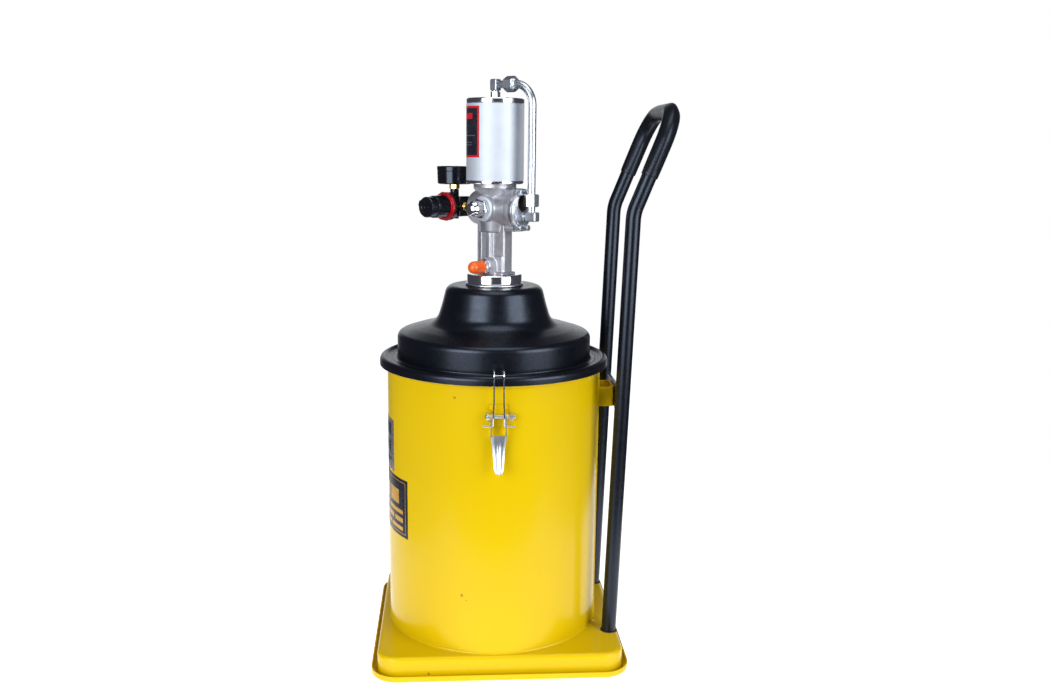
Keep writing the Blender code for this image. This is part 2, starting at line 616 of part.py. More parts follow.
# ---- air motor ----
def build_motor(pump):
    spigot = MOTOR_BORE - GAP
    base_top, cap_bottom = MOTOR_BOTTOM + 0.0043, MOTOR_TOP - 0.0070
    base = turned("motor_base", [
        (ROD_RADIUS + GAP, base_top + 0.0030, 0), (spigot, base_top + 0.0030, 0.0008), (spigot, base_top, 0),
        (MOTOR_RADIUS + 0.0004, base_top, 0.0006), (MOTOR_RADIUS + 0.0004, MOTOR_BOTTOM, 0.0012),
        (ROD_RADIUS + GAP, MOTOR_BOTTOM, 0),
    ], pump, slot="chrome", steps=24, closed=True)
    cut(base, prism("lower_air_port", 0.0030, 0.650, 0.680, pump, (-0.018, 0, 0), sides=10))
    turned("motor_cylinder", ring(MOTOR_BORE, MOTOR_RADIUS, base_top + GAP, cap_bottom - GAP), pump,
           slot="satin_aluminium", steps=24, closed=True)
    cap = turned("motor_cap", [
        (0, MOTOR_TOP, 0), (MOTOR_RADIUS + 0.0004, MOTOR_TOP, 0.0015), (MOTOR_RADIUS + 0.0004, cap_bottom, 0.0006),
        (spigot, cap_bottom, 0), (spigot, cap_bottom - 0.0030, 0.0008), (0, cap_bottom - 0.0030, 0),
    ], pump, slot="chrome", steps=24)
    cut(cap, prism("stem_port", 0.0048, 0.770, 0.790, pump, sides=16))

    top = PISTON_BOTTOM + PISTON_HEIGHT
    groove = PISTON_BOTTOM + 0.0045
    turned("motor_piston", [
        (ROD_RADIUS + GAP, top, 0), (0.0372, top, 0.001), (0.0372, groove + 0.0050, 0),
        (0.0348, groove + 0.0050, 0), (0.0348, groove, 0), (0.0372, groove, 0),
        (0.0372, PISTON_BOTTOM, 0.001), (ROD_RADIUS + GAP, PISTON_BOTTOM, 0),
    ], pump, slot="satin_aluminium", steps=24, closed=True)
    turned("piston_seal", ring(0.0351, 0.0377, groove + GAP, groove + 0.0047, 0.0008), pump,
           slot="rubber", steps=24, closed=True)
    turned("piston_rod", rod(ROD_RADIUS, PLUNGER_BOTTOM + 0.0223, top + 0.0040, 0.0006), pump,
           slot="rod_steel", steps=16)
    nut = hexagon("piston_nut", 0.017, top + GAP, top + 0.0070, pump, slot="zinc_steel")
    cut(nut, prism("piston_nut_hole", ROD_RADIUS + GAP, top - 0.01, top + 0.02, pump, sides=16))


def build_transfer_line(pump):
    """The tube that carries air from the valve up to the top of the motor, with its elbows and nuts."""
    low_z = VALVE_Z + ELBOW_DROP
    lower = box("lower_elbow", (TRANSFER_OUT - 0.0068, -0.0056, low_z - 0.0068),
                (TRANSFER_OUT + 0.0112, 0.0056, low_z + 0.0068), pump, slot="zinc_steel", bevel=0.0012)
    join(lower,
         prism("lower_shank", 0.0053, 0.0480, TRANSFER_OUT, pump, (0, 0, low_z), RIGHT, sides=16),
         hexagon("lower_collar", 0.0130, COVER_FACE + GAP, COVER_FACE + 0.0045, pump, (0, 0, low_z), RIGHT),
         prism("lower_neck", 0.0060, low_z, low_z + 0.0140, pump, (TRANSFER_OUT, 0, 0), sides=16))
    nut_low = low_z + 0.0143
    upright = (TRANSFER_OUT, 0, 0)
    lower_nut = hexagon("lower_nut", 0.0195, nut_low, nut_low + 0.0180, pump, upright, slot="zinc_steel")
    cut(lower_nut, prism("lower_nut_hole", TRANSFER_RADIUS + GAP, nut_low - 0.01, nut_low + 0.03, pump, upright,
                         sides=16))

    near, far = 0.0210, 0.0365      # the upper nut, out from the pump's axis
    pipe("air_tube", fillet([
        (TRANSFER_OUT, 0, nut_low + 0.0030, 0), (TRANSFER_OUT, 0, TRANSFER_Z, TRANSFER_BEND),
        (near + 0.0040, 0, TRANSFER_Z, 0),
    ], steps=8), TRANSFER_RADIUS, pump, slot="zinc_steel")
    upper_nut = hexagon("upper_nut", 0.0200, near, far, pump, (0, 0, TRANSFER_Z), RIGHT, "zinc_steel")
    join(upper_nut, prism("upper_collar", 0.0085, far - 0.001, far + 0.0030, pump, (0, 0, TRANSFER_Z), RIGHT,
                          radius_high=0.0075))
    cut(upper_nut, prism("upper_nut_hole", TRANSFER_RADIUS + GAP, near - 0.01, far + 0.01, pump,
                         (0, 0, TRANSFER_Z), RIGHT, sides=16))
    upper = box("upper_elbow", (-0.0058, -0.0058, TRANSFER_Z - 0.0085), (0.0058, 0.0058, TRANSFER_Z + 0.0079),
                pump, slot="zinc_steel", bevel=0.0012)
    join(upper,
         prism("upper_stem", 0.0045, 0.7745, TRANSFER_Z, pump, sides=16),
         hexagon("upper_hexagon", 0.0125, MOTOR_TOP + GAP, MOTOR_TOP + 0.0100, pump),
         prism("upper_neck", 0.0052, 0, near - GAP, pump, (0, 0, TRANSFER_Z), RIGHT, sides=16))


# ---- outlet, regulator and gauge ----
def build_outlet(pump):
    place = (0, 0, OUTLET_Z)
    seat = OUTLET_FACE + GAP
    nipple = hexagon("outlet_nipple", 0.0190, seat + 0.0016, seat + 0.0090, pump, place, FRONT, "zinc_steel")
    join(nipple,
         turned("nipple_collar", rod(0.0106, seat, seat + 0.0020, 0.0006), pump, place, FRONT, steps=16),
         prism("nipple_thread", 0.0058, seat + 0.0080, seat + 0.0200, pump, place, FRONT, sides=16))
    cut(nipple, prism("nipple_bore", 0.0030, 0, 0.060, pump, place, FRONT, sides=12))
    start = seat + 0.0093
    turned("outlet_cap", [
        (0, 0.0550, 0), (0.0090, 0.0550, 0.0085), (0.0090, start + 0.0030, 0.0006), (0.0096, start + 0.0028, 0.0004),
        (0.0096, start, 0.0005), (0.0061, start, 0), (0.0061, 0.0420, 0.0010), (0, 0.0420, 0),
    ], pump, place, FRONT, "orange_plastic", steps=20, arc=2)


def build_regulator(pump):
    level = (0, 0, REGULATOR_Z)
    centre = (-REGULATOR_OUT, 0, REGULATOR_Z)
    adapter = turned("port_adapter", rod(0.0065, 0.0360, REGULATOR_NEAR + 0.0040, 0.0005), pump, level, LEFT,
                     "brass", steps=16)
    adapter_low, adapter_high = 0.0400 + GAP, REGULATOR_NEAR - GAP
    join(adapter, hexagon("adapter_hexagon", 0.0170, adapter_low, adapter_high - 0.0060, pump, level, LEFT))

    body = box("regulator_body", (-REGULATOR_FAR, -0.0110, -0.0150), (-REGULATOR_NEAR, 0.0120, 0.0150), pump,
               level, slot="black_plastic", bevel=0.002)
    stem_top = GAUGE_STEM - REGULATOR_Z
    seat_front, knob_low = 0.0197, 0.0285
    join(body,
         prism("gauge_boss", 0.0066, -0.0190, stem_top, pump, centre, sides=16),
         turned("bonnet_seat", rod(0.0212, 0.0050, seat_front, 0.0010), pump, centre, FRONT),
         prism("bonnet", 0.0150, 0.0050, knob_low - GAP, pump, centre, FRONT, sides=24))
    cut(body,
        prism("adapter_port", 0.0068, REGULATOR_NEAR - 0.010, REGULATOR_NEAR + 0.0045, pump, level, LEFT, sides=16),
        prism("nipple_port", 0.0053, REGULATOR_FAR - 0.0060, REGULATOR_FAR + 0.010, pump, level, LEFT, sides=16),
        prism("stem_hole", 0.0043, stem_top - 0.0050, stem_top + 0.010, pump, centre, sides=16))
    cut(adapter, prism("adapter_bore", 0.0035, 0.030, 0.070, pump, level, LEFT, sides=12))
    # The adapter's tail sits in the head's port, so that port is opened to take it.
    cut(bpy.data.objects["pump_body"],
        prism("adapter_seat", 0.0068, 0.0355, 0.050, pump, level, LEFT, sides=16))

    ring_low = seat_front + GAP
    turned("regulator_ring", [
        (0.0153, ring_low + 0.0062, 0), (0.0187, ring_low + 0.0062, 0.0010), (0.0217, ring_low + 0.0035, 0.0008),
        (0.0217, ring_low, 0.0006), (0.0153, ring_low, 0),
    ], pump, centre, FRONT, "red_ring", steps=24, closed=True)
    turned("regulator_knob", [
        (0, 0.0630, 0), (0.0140, 0.0630, 0.0006), (0.0152, 0.0618, 0.0006), (0.0152, 0.0490, 0),
        (0.0165, 0.0475, 0.0008), (0.0172, knob_low + 0.0010, 0.0008), (0.0172, knob_low, 0), (0, knob_low, 0),
    ], pump, centre, FRONT, "black_plastic")

    nipple = hexagon("inlet_nipple", 0.0140, REGULATOR_FAR + GAP, REGULATOR_FAR + 0.0060, pump, level, LEFT,
                     "zinc_steel")
    join(nipple, turned("nipple_nose", [
        (0, REGULATOR_FAR + 0.0250, 0), (0.0052, REGULATOR_FAR + 0.0250, 0.0006),
        (0.0052, REGULATOR_FAR + 0.0180, 0), (0.0040, REGULATOR_FAR + 0.0170, 0),
        (0.0040, REGULATOR_FAR + 0.0125, 0), (0.0058, REGULATOR_FAR + 0.0105, 0),
        (0.0050, REGULATOR_FAR - 0.0050, 0), (0, REGULATOR_FAR - 0.0050, 0),
    ], pump, level, LEFT, steps=16))
    cut(nipple, prism("nipple_air_bore", 0.0030, REGULATOR_FAR - 0.010, REGULATOR_FAR + 0.040, pump, level, LEFT,
                      sides=12))


def build_gauge(pump):
    place = (-REGULATOR_OUT, 0, 0)
    floor = DIAL_Z - 0.0015
    stem = hexagon("gauge_stem", 0.0138, GAUGE_STEM + GAP, GAUGE_BOTTOM - GAP, pump, place, slot="brass")
    join(stem,
         prism("stem_thread", 0.0040, GAUGE_STEM - 0.0040, GAUGE_STEM + 0.0010, pump, place, sides=16),
         prism("stem_top", 0.0040, 0.6590, 0.6630, pump, place, sides=16))
    case = turned("gauge_case", [
        (0, floor, 0), (GAUGE_RADIUS - 0.0025, floor, 0), (GAUGE_RADIUS - 0.0025, GAUGE_TOP, 0.0004),
        (GAUGE_RADIUS, GAUGE_TOP, 0.0012), (GAUGE_RADIUS, GAUGE_TOP - 0.0060, 0.0005),
        (GAUGE_RADIUS - 0.0008, GAUGE_TOP - 0.0065, 0), (GAUGE_RADIUS - 0.0014, GAUGE_BOTTOM, 0.0020),
        (0, GAUGE_BOTTOM, 0),
    ], pump, place, slot="black_plastic", steps=24)
    cut(case, prism("case_port", 0.0043, 0.650, 0.6635, pump, place, sides=16))
    needle = prism("gauge_needle", 0.0022, DIAL_Z, DIAL_Z + 0.0018, pump, place, slot="black_plastic", sides=16)
    start = math.radians(225)
    pointer = slab("pointer", [(-0.0060, -0.0009, 0), (0.0165, -0.0003, 0), (0.0165, 0.0003, 0), (-0.0060, 0.0009, 0)],
                   DIAL_Z + 0.0004, DIAL_Z + 0.0012, pump, place, (0, 0, start))
    join(needle, pointer)
    turned("gauge_lens", rod(GAUGE_RADIUS - 0.0028, GAUGE_TOP - 0.0042, GAUGE_TOP - 0.0022), pump, place,
           slot="clear", steps=24)


def main():
    clear_scene()
    axis = empty("drum_axis", place=(DRUM_X, 0, BASE_HEIGHT))
    pump = empty("pump_axis", axis, turn=(0, 0, PUMP_TURN))
    build_base(axis)
    build_drum(axis)
    build_lid(axis)
    build_handle(axis)
    build_latch("front", axis, 0)
    build_latch("rear", axis, math.pi)
    build_lower_pump(pump)
    build_pump_body(pump)
    build_valve(pump)
    build_detent(pump)
    build_motor(pump)
    build_transfer_line(pump)
    build_outlet(pump)
    build_regulator(pump)
    build_gauge(pump)


main()
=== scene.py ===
"""Looks for the air-operated oil pump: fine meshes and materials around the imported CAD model.

Lengths are metres. Most pieces are built in one of two frames that stand on the base's top face:
AXIS on the drum's axis, and PUMP, the same frame turned as the pump head is turned on the lid.
"""

import json
import math

import bmesh
import bpy
from mathutils import Matrix, Vector


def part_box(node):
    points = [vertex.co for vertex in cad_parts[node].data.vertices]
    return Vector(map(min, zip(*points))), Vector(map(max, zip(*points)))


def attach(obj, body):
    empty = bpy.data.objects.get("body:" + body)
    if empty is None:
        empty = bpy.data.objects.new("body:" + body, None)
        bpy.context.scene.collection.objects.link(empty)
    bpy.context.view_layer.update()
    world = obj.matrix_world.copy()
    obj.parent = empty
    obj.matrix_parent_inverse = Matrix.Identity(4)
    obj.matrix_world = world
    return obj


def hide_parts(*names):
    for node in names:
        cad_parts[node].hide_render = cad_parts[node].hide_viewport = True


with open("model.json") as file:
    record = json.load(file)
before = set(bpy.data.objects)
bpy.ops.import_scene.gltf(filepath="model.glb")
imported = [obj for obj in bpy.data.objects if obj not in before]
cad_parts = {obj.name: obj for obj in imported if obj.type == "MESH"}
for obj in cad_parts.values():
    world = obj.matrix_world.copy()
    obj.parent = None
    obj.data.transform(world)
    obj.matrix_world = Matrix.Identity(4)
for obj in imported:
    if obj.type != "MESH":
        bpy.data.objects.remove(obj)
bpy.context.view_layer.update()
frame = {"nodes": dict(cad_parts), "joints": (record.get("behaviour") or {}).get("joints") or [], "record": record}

JOINTS = {joint["name"]: joint for joint in frame["joints"]}
SLOT_OF = {part["node"]: part["material_slot"] for part in frame["record"]["subparts"]}

# ---- the two frames ----
DRUM_LOW, DRUM_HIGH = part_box("drum")
BASE_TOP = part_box("base_pan")[1].z
AXIS = Matrix.Translation(((DRUM_LOW.x + DRUM_HIGH.x) / 2, 0, BASE_TOP))
PUMP = AXIS @ Matrix.Rotation(math.asin(JOINTS["knob_turn"]["axis"][0]), 4, "Z")
FRONT = Matrix.Rotation(math.pi / 2, 4, "X")        # turns +Z to -Y
RIGHT = Matrix.Rotation(math.pi / 2, 4, "Y")        # turns +Z to +X
LEFT = Matrix.Rotation(-math.pi / 2, 4, "Y")        # turns +Z to -X
PROFILE = Matrix(((0, 0, -1, 0), (-1, 0, 0, 0), (0, 1, 0, 0), (0, 0, 0, 1)))    # x out to -Y, y up

# ---- sizes that the detail shares with the CAD model: heights stand above the base's top face ----
GAP = 0.0003
SHEET = 0.0018
BASE_LEFT, BASE_RIGHT, BASE_HALF_WIDTH = 0.172, 0.185, 0.166
BASE_CORNER, BASE_LIP = 0.03, 0.007
DRUM_RADIUS, DRUM_TOP = 0.16, 0.401
LID_RADIUS, LID_BOTTOM, LID_LEDGE, LID_RIDGE, LID_TOP = 0.171, 0.397, 0.4062, 0.4102, 0.5142
HANDLE_RADIUS, HANDLE_HALF_WIDTH, HANDLE_FOOT_X = 0.011, 0.089, 0.1723
HANDLE_LEAN, HANDLE_BEND_Z = math.radians(1.7), 0.627
HANDLE_TILT, HANDLE_TOP_Z, HANDLE_CORNER = math.radians(21.7), 0.768, 0.05
GRIP_RADIUS, GRIP_END_Z = 0.013, 0.677
BAIL_WIRE = 0.0012
FLANGE_TOP, OUTLET_Z = 0.531, 0.543
HEAD_Z, VALVE_Z, REGULATOR_Z = 0.6275, 0.6262, 0.6272
VALVE_FACE, COVER_FACE = 0.046, 0.054
COVER_BOLT_Y, COVER_BOLT_Z = 0.008, 0.0255
MUFFLER_RISE, ELBOW_DROP = 0.0105, -0.0085
MOTOR_RADIUS, MOTOR_BOTTOM = 0.042, 0.663
TRANSFER_OUT, TRANSFER_Z, TRANSFER_BEND, TRANSFER_RADIUS = 0.068, 0.8035, 0.031, 0.0058
REGULATOR_OUT = 0.08
GAUGE_STEM, GAUGE_BOTTOM, GAUGE_TOP, DIAL_Z = 0.6525, 0.66, 0.6865, 0.6785
SIDES = (("front", -1), ("rear", 1))
SEAM_TURN = math.radians(75)        # the drum's welded seam, round from the front towards the handle
LABEL_TURN = math.radians(-90)      # where the labels' middles face, round from the front

# ---- camera and studio ----
CAMERA_DISTANCE, CAMERA_HEIGHT = 1.5304, 0.7128     # from the drum's axis, and above the base's top
CAMERA_TURN = math.radians(2.4)         # how far the object stands turned from the camera
CAMERA_AIM, CAMERA_DOWN, CAMERA_ROLL = math.radians(1.755), math.radians(11.02), math.radians(0.68)
CAMERA_LENS, CAMERA_SENSOR = 35.35, 36.0
DIM_LEVEL, BACK_LEVEL = 0.055, 1.1                  # the room's brightness in reflections, in front and behind
DIM_UP_TO, BRIGHT_FROM = 0.93, 0.99                 # how far round towards the back each of them reaches
COOL_WHITE = (0.95, 0.98, 1)
BOX_DISTANCE, BOX_WIDTH, BOX_HEIGHT, BOX_CENTRE_Z = 2.2, 1.45, 1.75, 1.03


# ---- mesh helpers ----
def at(x=0.0, y=0.0, z=0.0):
    return Matrix.Translation((x, y, z))


def fillet(corners, closed=False, steps=6):
    """The path through corners (x, y, radius) or (x, y, z, radius), with an arc where a radius is given."""
    points = [Vector((*corner[:-1], 0)[:3]) for corner in corners]
    path = []
    for i, corner in enumerate(corners):
        here, radius = points[i], corner[-1]
        at_end = not closed and i in (0, len(points) - 1)
        if at_end or not radius:
            path.append(here)
            continue
        back = (points[i - 1] - here).normalized()
        ahead = (points[(i + 1) % len(points)] - here).normalized()
        half = back.angle(ahead) / 2
        centre = here + (back + ahead).normalized() * radius / math.sin(half)
        start = (here + back * radius / math.tan(half) - centre).normalized()
        end = (here + ahead * radius / math.tan(half) - centre).normalized()
        path += [centre + start.slerp(end, k / steps) * radius for k in range(steps + 1)]
    return path


def made(name, shape, place, slot=None, sharp=32):
    """Turns a bmesh into a smooth-shaded object at place. With no slot it is a helper for a Boolean."""
    bmesh.ops.recalc_face_normals(shape, faces=shape.faces)
    mesh = bpy.data.meshes.new(name)
    shape.to_mesh(mesh)
    shape.free()
    mesh.shade_smooth()
    mesh.set_sharp_from_angle(angle=math.radians(sharp))
    obj = bpy.data.objects.new(name, mesh)
    bpy.context.scene.collection.objects.link(obj)
    obj.matrix_world = place
    if slot:
        mesh.materials.append(look(slot))
    return obj


def skin(shape, loops, around=True, ends=True):
    """Faces between one loop of vertices and the next, with the first and the last filled."""
    for one, other in zip(loops, loops[1:]):
        count = len(one)
        for i in range(0 if around else 1, count):
            quad = [one[i - 1], other[i - 1], other[i], one[i]]
            corners = list(dict.fromkeys(quad))
            if len(corners) > 2:
                shape.faces.new(corners)
    if ends:
        shape.faces.new(loops[0])
        shape.faces.new(loops[-1])


def lathe(name, corners, place, slot=None, steps=96, closed=False, arc=6, ripple=None, sharp=32):
    """A turned solid from corners (radius, height, fillet) that run down its outer side.

    An open profile whose end is off the axis gets a flat face from there to the axis. ripple is (count,
    depth, low, high): grooves along the outer side between two heights.
    """
    corners = list(corners)
    if not closed and corners[0][0]:
        corners.insert(0, (0, corners[0][1], 0))
    if not closed and corners[-1][0]:
        corners.append((0, corners[-1][1], 0))
    shape = bmesh.new()
    rings = []
    for point in fillet(corners, closed, arc):
        if point.x < 1e-7:
            rings.append([shape.verts.new((0, 0, point.y))] * steps)
            continue
        ring = []
        for i in range(steps):
            turn = 2 * math.pi * i / steps
            radius = point.x
            if ripple and ripple[2] < point.y < ripple[3]:
                radius -= ripple[1] * (0.5 + 0.5 * math.cos(ripple[0] * turn)) ** 2
            ring.append(shape.verts.new((radius * math.cos(turn), radius * math.sin(turn), point.y)))
        rings.append(ring)
    if closed:
        rings.append(rings[0])
    skin(shape, rings, ends=False)
    return made(name, shape, place, slot, sharp)


def rod(outer, bottom, top, bevel=0.0):
    """The corners of a solid round bar for lathe."""
    return [(outer, top, bevel), (outer, bottom, bevel)]


def ring(inner, outer, bottom, top, bevel=0.0):
    """The corners of a closed ring for lathe, with its outer edges rounded."""
    return [(inner, top, 0), (outer, top, bevel), (outer, bottom, bevel), (inner, bottom, 0)]


def rectangle(left, right, half, corner):
    """The corners of a rectangle for fillet, reaching half to each side of the X axis."""
    return [(left, -half, corner), (right, -half, corner), (right, half, corner), (left, half, corner)]


def block(name, low, high, place, slot=None, bevel=0.0):
    shape = bmesh.new()
    low, high = Vector(low), Vector(high)
    bmesh.ops.create_cube(shape, size=1, matrix=Matrix.Translation((low + high) / 2)
                          @ Matrix.Diagonal((*(high - low), 1)))
    if bevel:
        bmesh.ops.bevel(shape, geom=shape.edges[:], offset=bevel, segments=3, profile=0.5, affect="EDGES")
    return made(name, shape, place, slot, 50)


def slab(name, corners, low, high, place, slot=None, bevel=0.0, steps=6):
    """A flat outline (x, y, fillet), filled and extruded from low to high along its own Z."""
    shape = bmesh.new()
    outline = fillet(corners, closed=True, steps=steps)
    loops = [[shape.verts.new((p.x, p.y, z)) for p in outline] for z in (low, high)]
    skin(shape, loops)
    if bevel:
        rims = [edge for edge in shape.edges if abs(edge.verts[0].co.z - edge.verts[1].co.z) < 1e-9]
        bmesh.ops.bevel(shape, geom=rims, offset=bevel, segments=2, profile=0.5, affect="EDGES")
    return made(name, shape, place, slot)


def sweep(name, path, section, place, slot=None, sides=32):
    """A bar along path. section(share, turn) gives a point of its outline, sideways and outwards."""
    shape = bmesh.new()
    loops = []
    last = len(path) - 1
    side = None
    for i, point in enumerate(path):
        ahead = (path[min(i + 1, last)] - path[max(i - 1, 0)]).normalized()
        if side is None:
            side = ahead.orthogonal().normalized()
        side = (side - ahead * side.dot(ahead)).normalized()
        out = ahead.cross(side)
        loop = []
        for k in range(sides):
            across, outward = section(i / last, 2 * math.pi * k / sides)
            loop.append(shape.verts.new(point + side * across + out * outward))
        loops.append(loop)
    skin(shape, loops)
    return made(name, shape, place, slot)


def bar(name, path, radius, place, slot=None, sides=32):
    def section(share, turn):
        return radius * math.cos(turn), radius * math.sin(turn)

    return sweep(name, path, section, place, slot, sides)


def applied(obj):
    """Bakes the modifiers into the mesh, and keeps its smooth shading."""
    bpy.context.view_layer.update()
    mesh = bpy.data.meshes.new_from_object(obj.evaluated_get(bpy.context.evaluated_depsgraph_get()))
    mesh.shade_smooth()
    mesh.set_sharp_from_angle(angle=math.radians(32))
    obj.modifiers.clear()
    obj.data = mesh
    return obj


def combine(obj, operation, *others):
    """Joins others to obj, or cuts them from it, and removes them."""
    for other in others:
        modifier = obj.modifiers.new(other.name, "BOOLEAN")
        modifier.operation = operation
        modifier.solver = "EXACT"
        modifier.object = other
    applied(obj)
    for other in others:
        bpy.data.objects.remove(other, do_unlink=True)
    return obj


def join(obj, *others):
    return combine(obj, "UNION", *others)


def cut(obj, *others):
    return combine(obj, "DIFFERENCE", *others)


def bored(obj, radius, low, high, place, steps=48):
    """Cuts a round hole along place's own Z."""
    return cut(obj, lathe("bore", rod(radius, low, high), place, steps=steps))


def nut(name, flats, low, high, place, slot=None, sides=6, bore=0.0, turn=0.0):
    """A nut or bolt head: a prism whose corners are turned off at both ends, with an optional hole."""
    inner, outer = flats / 2, flats / 2 / math.cos(math.pi / sides)
    drop = (outer - inner) * math.tan(math.radians(30))
    rim = outer * 1.02
    shape = bmesh.new()
    bmesh.ops.create_cone(shape, cap_ends=True, segments=sides, radius1=outer, radius2=outer, depth=high - low,
                          matrix=Matrix.Rotation(turn, 4, "Z") @ Matrix.Translation((0, 0, (low + high) / 2)))
    upright = [edge for edge in shape.edges
               if abs(edge.verts[0].co.z - edge.verts[1].co.z) > (high - low) / 2]
    bmesh.ops.bevel(shape, geom=upright, offset=flats * 0.012, segments=2, profile=0.5, affect="EDGES")
    head = made(name, shape, place, slot, 20)
    turned_off = lathe("turned_off", [
        (inner * 0.97, high, 0), (rim, high - drop, 0), (rim, low + drop, 0),
        (inner * 0.97, low, 0),
    ], place, steps=72)
    combine(head, "INTERSECT", turned_off)
    if bore:
        bored(head, bore, low - 0.01, high + 0.01, place)
    return head


def helix_ridges(name, radius, low, high, pitch, place, slot):
    """Screw thread on a rod: rings of ridges, close enough to a helix at this size."""
    count = int((high - low) / pitch)
    corners = []
    for i in range(count):
        top = high - i * pitch
        corners += [(radius - pitch * 0.35, top, 0), (radius, top - pitch * 0.5, 0)]
    corners.append((radius - pitch * 0.35, low, 0))
    return lathe(name, corners, place, slot, steps=40, sharp=60)


def keep(obj, body, *nodes, slot=None):
    """The piece rides on body and stands for nodes, which it hides; it looks up their slot but gives the piece no
    finish.
    """
    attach(obj, body)
    if obj.type == "MESH":
        obj.modifiers.new("flat faces stay flat", "WEIGHTED_NORMAL").keep_sharp = True
    if nodes:
        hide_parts(*nodes)
        slot = slot or SLOT_OF[nodes[0]]
    return obj


# ---- materials ----
class Look:
    """A Principled material whose texture sits in the piece's own space, in metres."""

    def __init__(self, name, colour, roughness, metallic, sockets):
        self.made = bpy.data.materials.new(name)
        self.made.use_nodes = True
        self.tree = self.made.node_tree
        self.shader = self.tree.nodes["Principled BSDF"]
        self.colour = (*colour, 1)
        constants = {"Base Color": self.colour, "Roughness": roughness, "Metallic": metallic, **sockets}
        for socket, value in constants.items():
            self.shader.inputs[socket].default_value = value
        self.space = self.tree.nodes.new("ShaderNodeTexCoord").outputs["Object"]
        self.textures = {}

    def node(self, kind, **settings):
        found = self.tree.nodes.new("ShaderNode" + kind)
        for name, value in settings.items():
            setattr(found, name, value)
        return found

    def noise(self, scale, detail, stretch=(1, 1, 1)):
        """Noise with about scale lumps to the metre, drawn out along an axis by a stretch below 1."""
        mapping = self.node("Mapping")
        mapping.inputs["Scale"].default_value = stretch
        self.tree.links.new(self.space, mapping.inputs["Vector"])
        texture = self.node("TexNoise")
        texture.inputs["Scale"].default_value = scale
        texture.inputs["Detail"].default_value = detail
        self.tree.links.new(mapping.outputs["Vector"], texture.inputs["Vector"])
        return texture.outputs["Fac"]

    def grains(self, scale):
        texture = self.node("TexVoronoi")
        texture.inputs["Scale"].default_value = scale
        self.tree.links.new(self.space, texture.inputs["Vector"])
        return texture.outputs["Distance"]

    def texture(self, numbers):
        """Noise for (scale, detail) or (scale, detail, stretch) and grains for (scale,), each made once."""
        if numbers not in self.textures:
            self.textures[numbers] = (self.noise if len(numbers) > 1 else self.grains)(*numbers)
        return self.textures[numbers]

    def spread(self, value, low, high, start=0.35, end=0.65):
        """value between start and end, mapped to low to high."""
        limits = self.node("MapRange")
        for socket, number in (("From Min", start), ("From Max", end), ("To Min", low), ("To Max", high)):
            limits.inputs[socket].default_value = number
        self.tree.links.new(value, limits.inputs["Value"])
        return limits.outputs["Result"]

    def tint(self, value, other, start=0.35, end=0.65):
        """Blends the base colour towards other where value is high."""
        mix = self.node("Mix", data_type="RGBA")
        base = self.shader.inputs["Base Color"]
        if base.is_linked:
            self.tree.links.new(base.links[0].from_socket, mix.inputs[6])
        else:
            mix.inputs[6].default_value = self.colour
        mix.inputs[7].default_value = (*other, 1)
        self.tree.links.new(self.spread(value, 0, 1, start, end), mix.inputs[0])
        self.tree.links.new(mix.outputs[2], base)

    def roughen(self, value, low, high):
        self.tree.links.new(self.spread(value, low, high), self.shader.inputs["Roughness"])

    def bump(self, value, strength, depth):
        bump = self.node("Bump")
        bump.inputs["Strength"].default_value = strength
        bump.inputs["Distance"].default_value = depth
        self.tree.links.new(value, bump.inputs["Height"])
        self.tree.links.new(bump.outputs["Normal"], self.shader.inputs["Normal"])


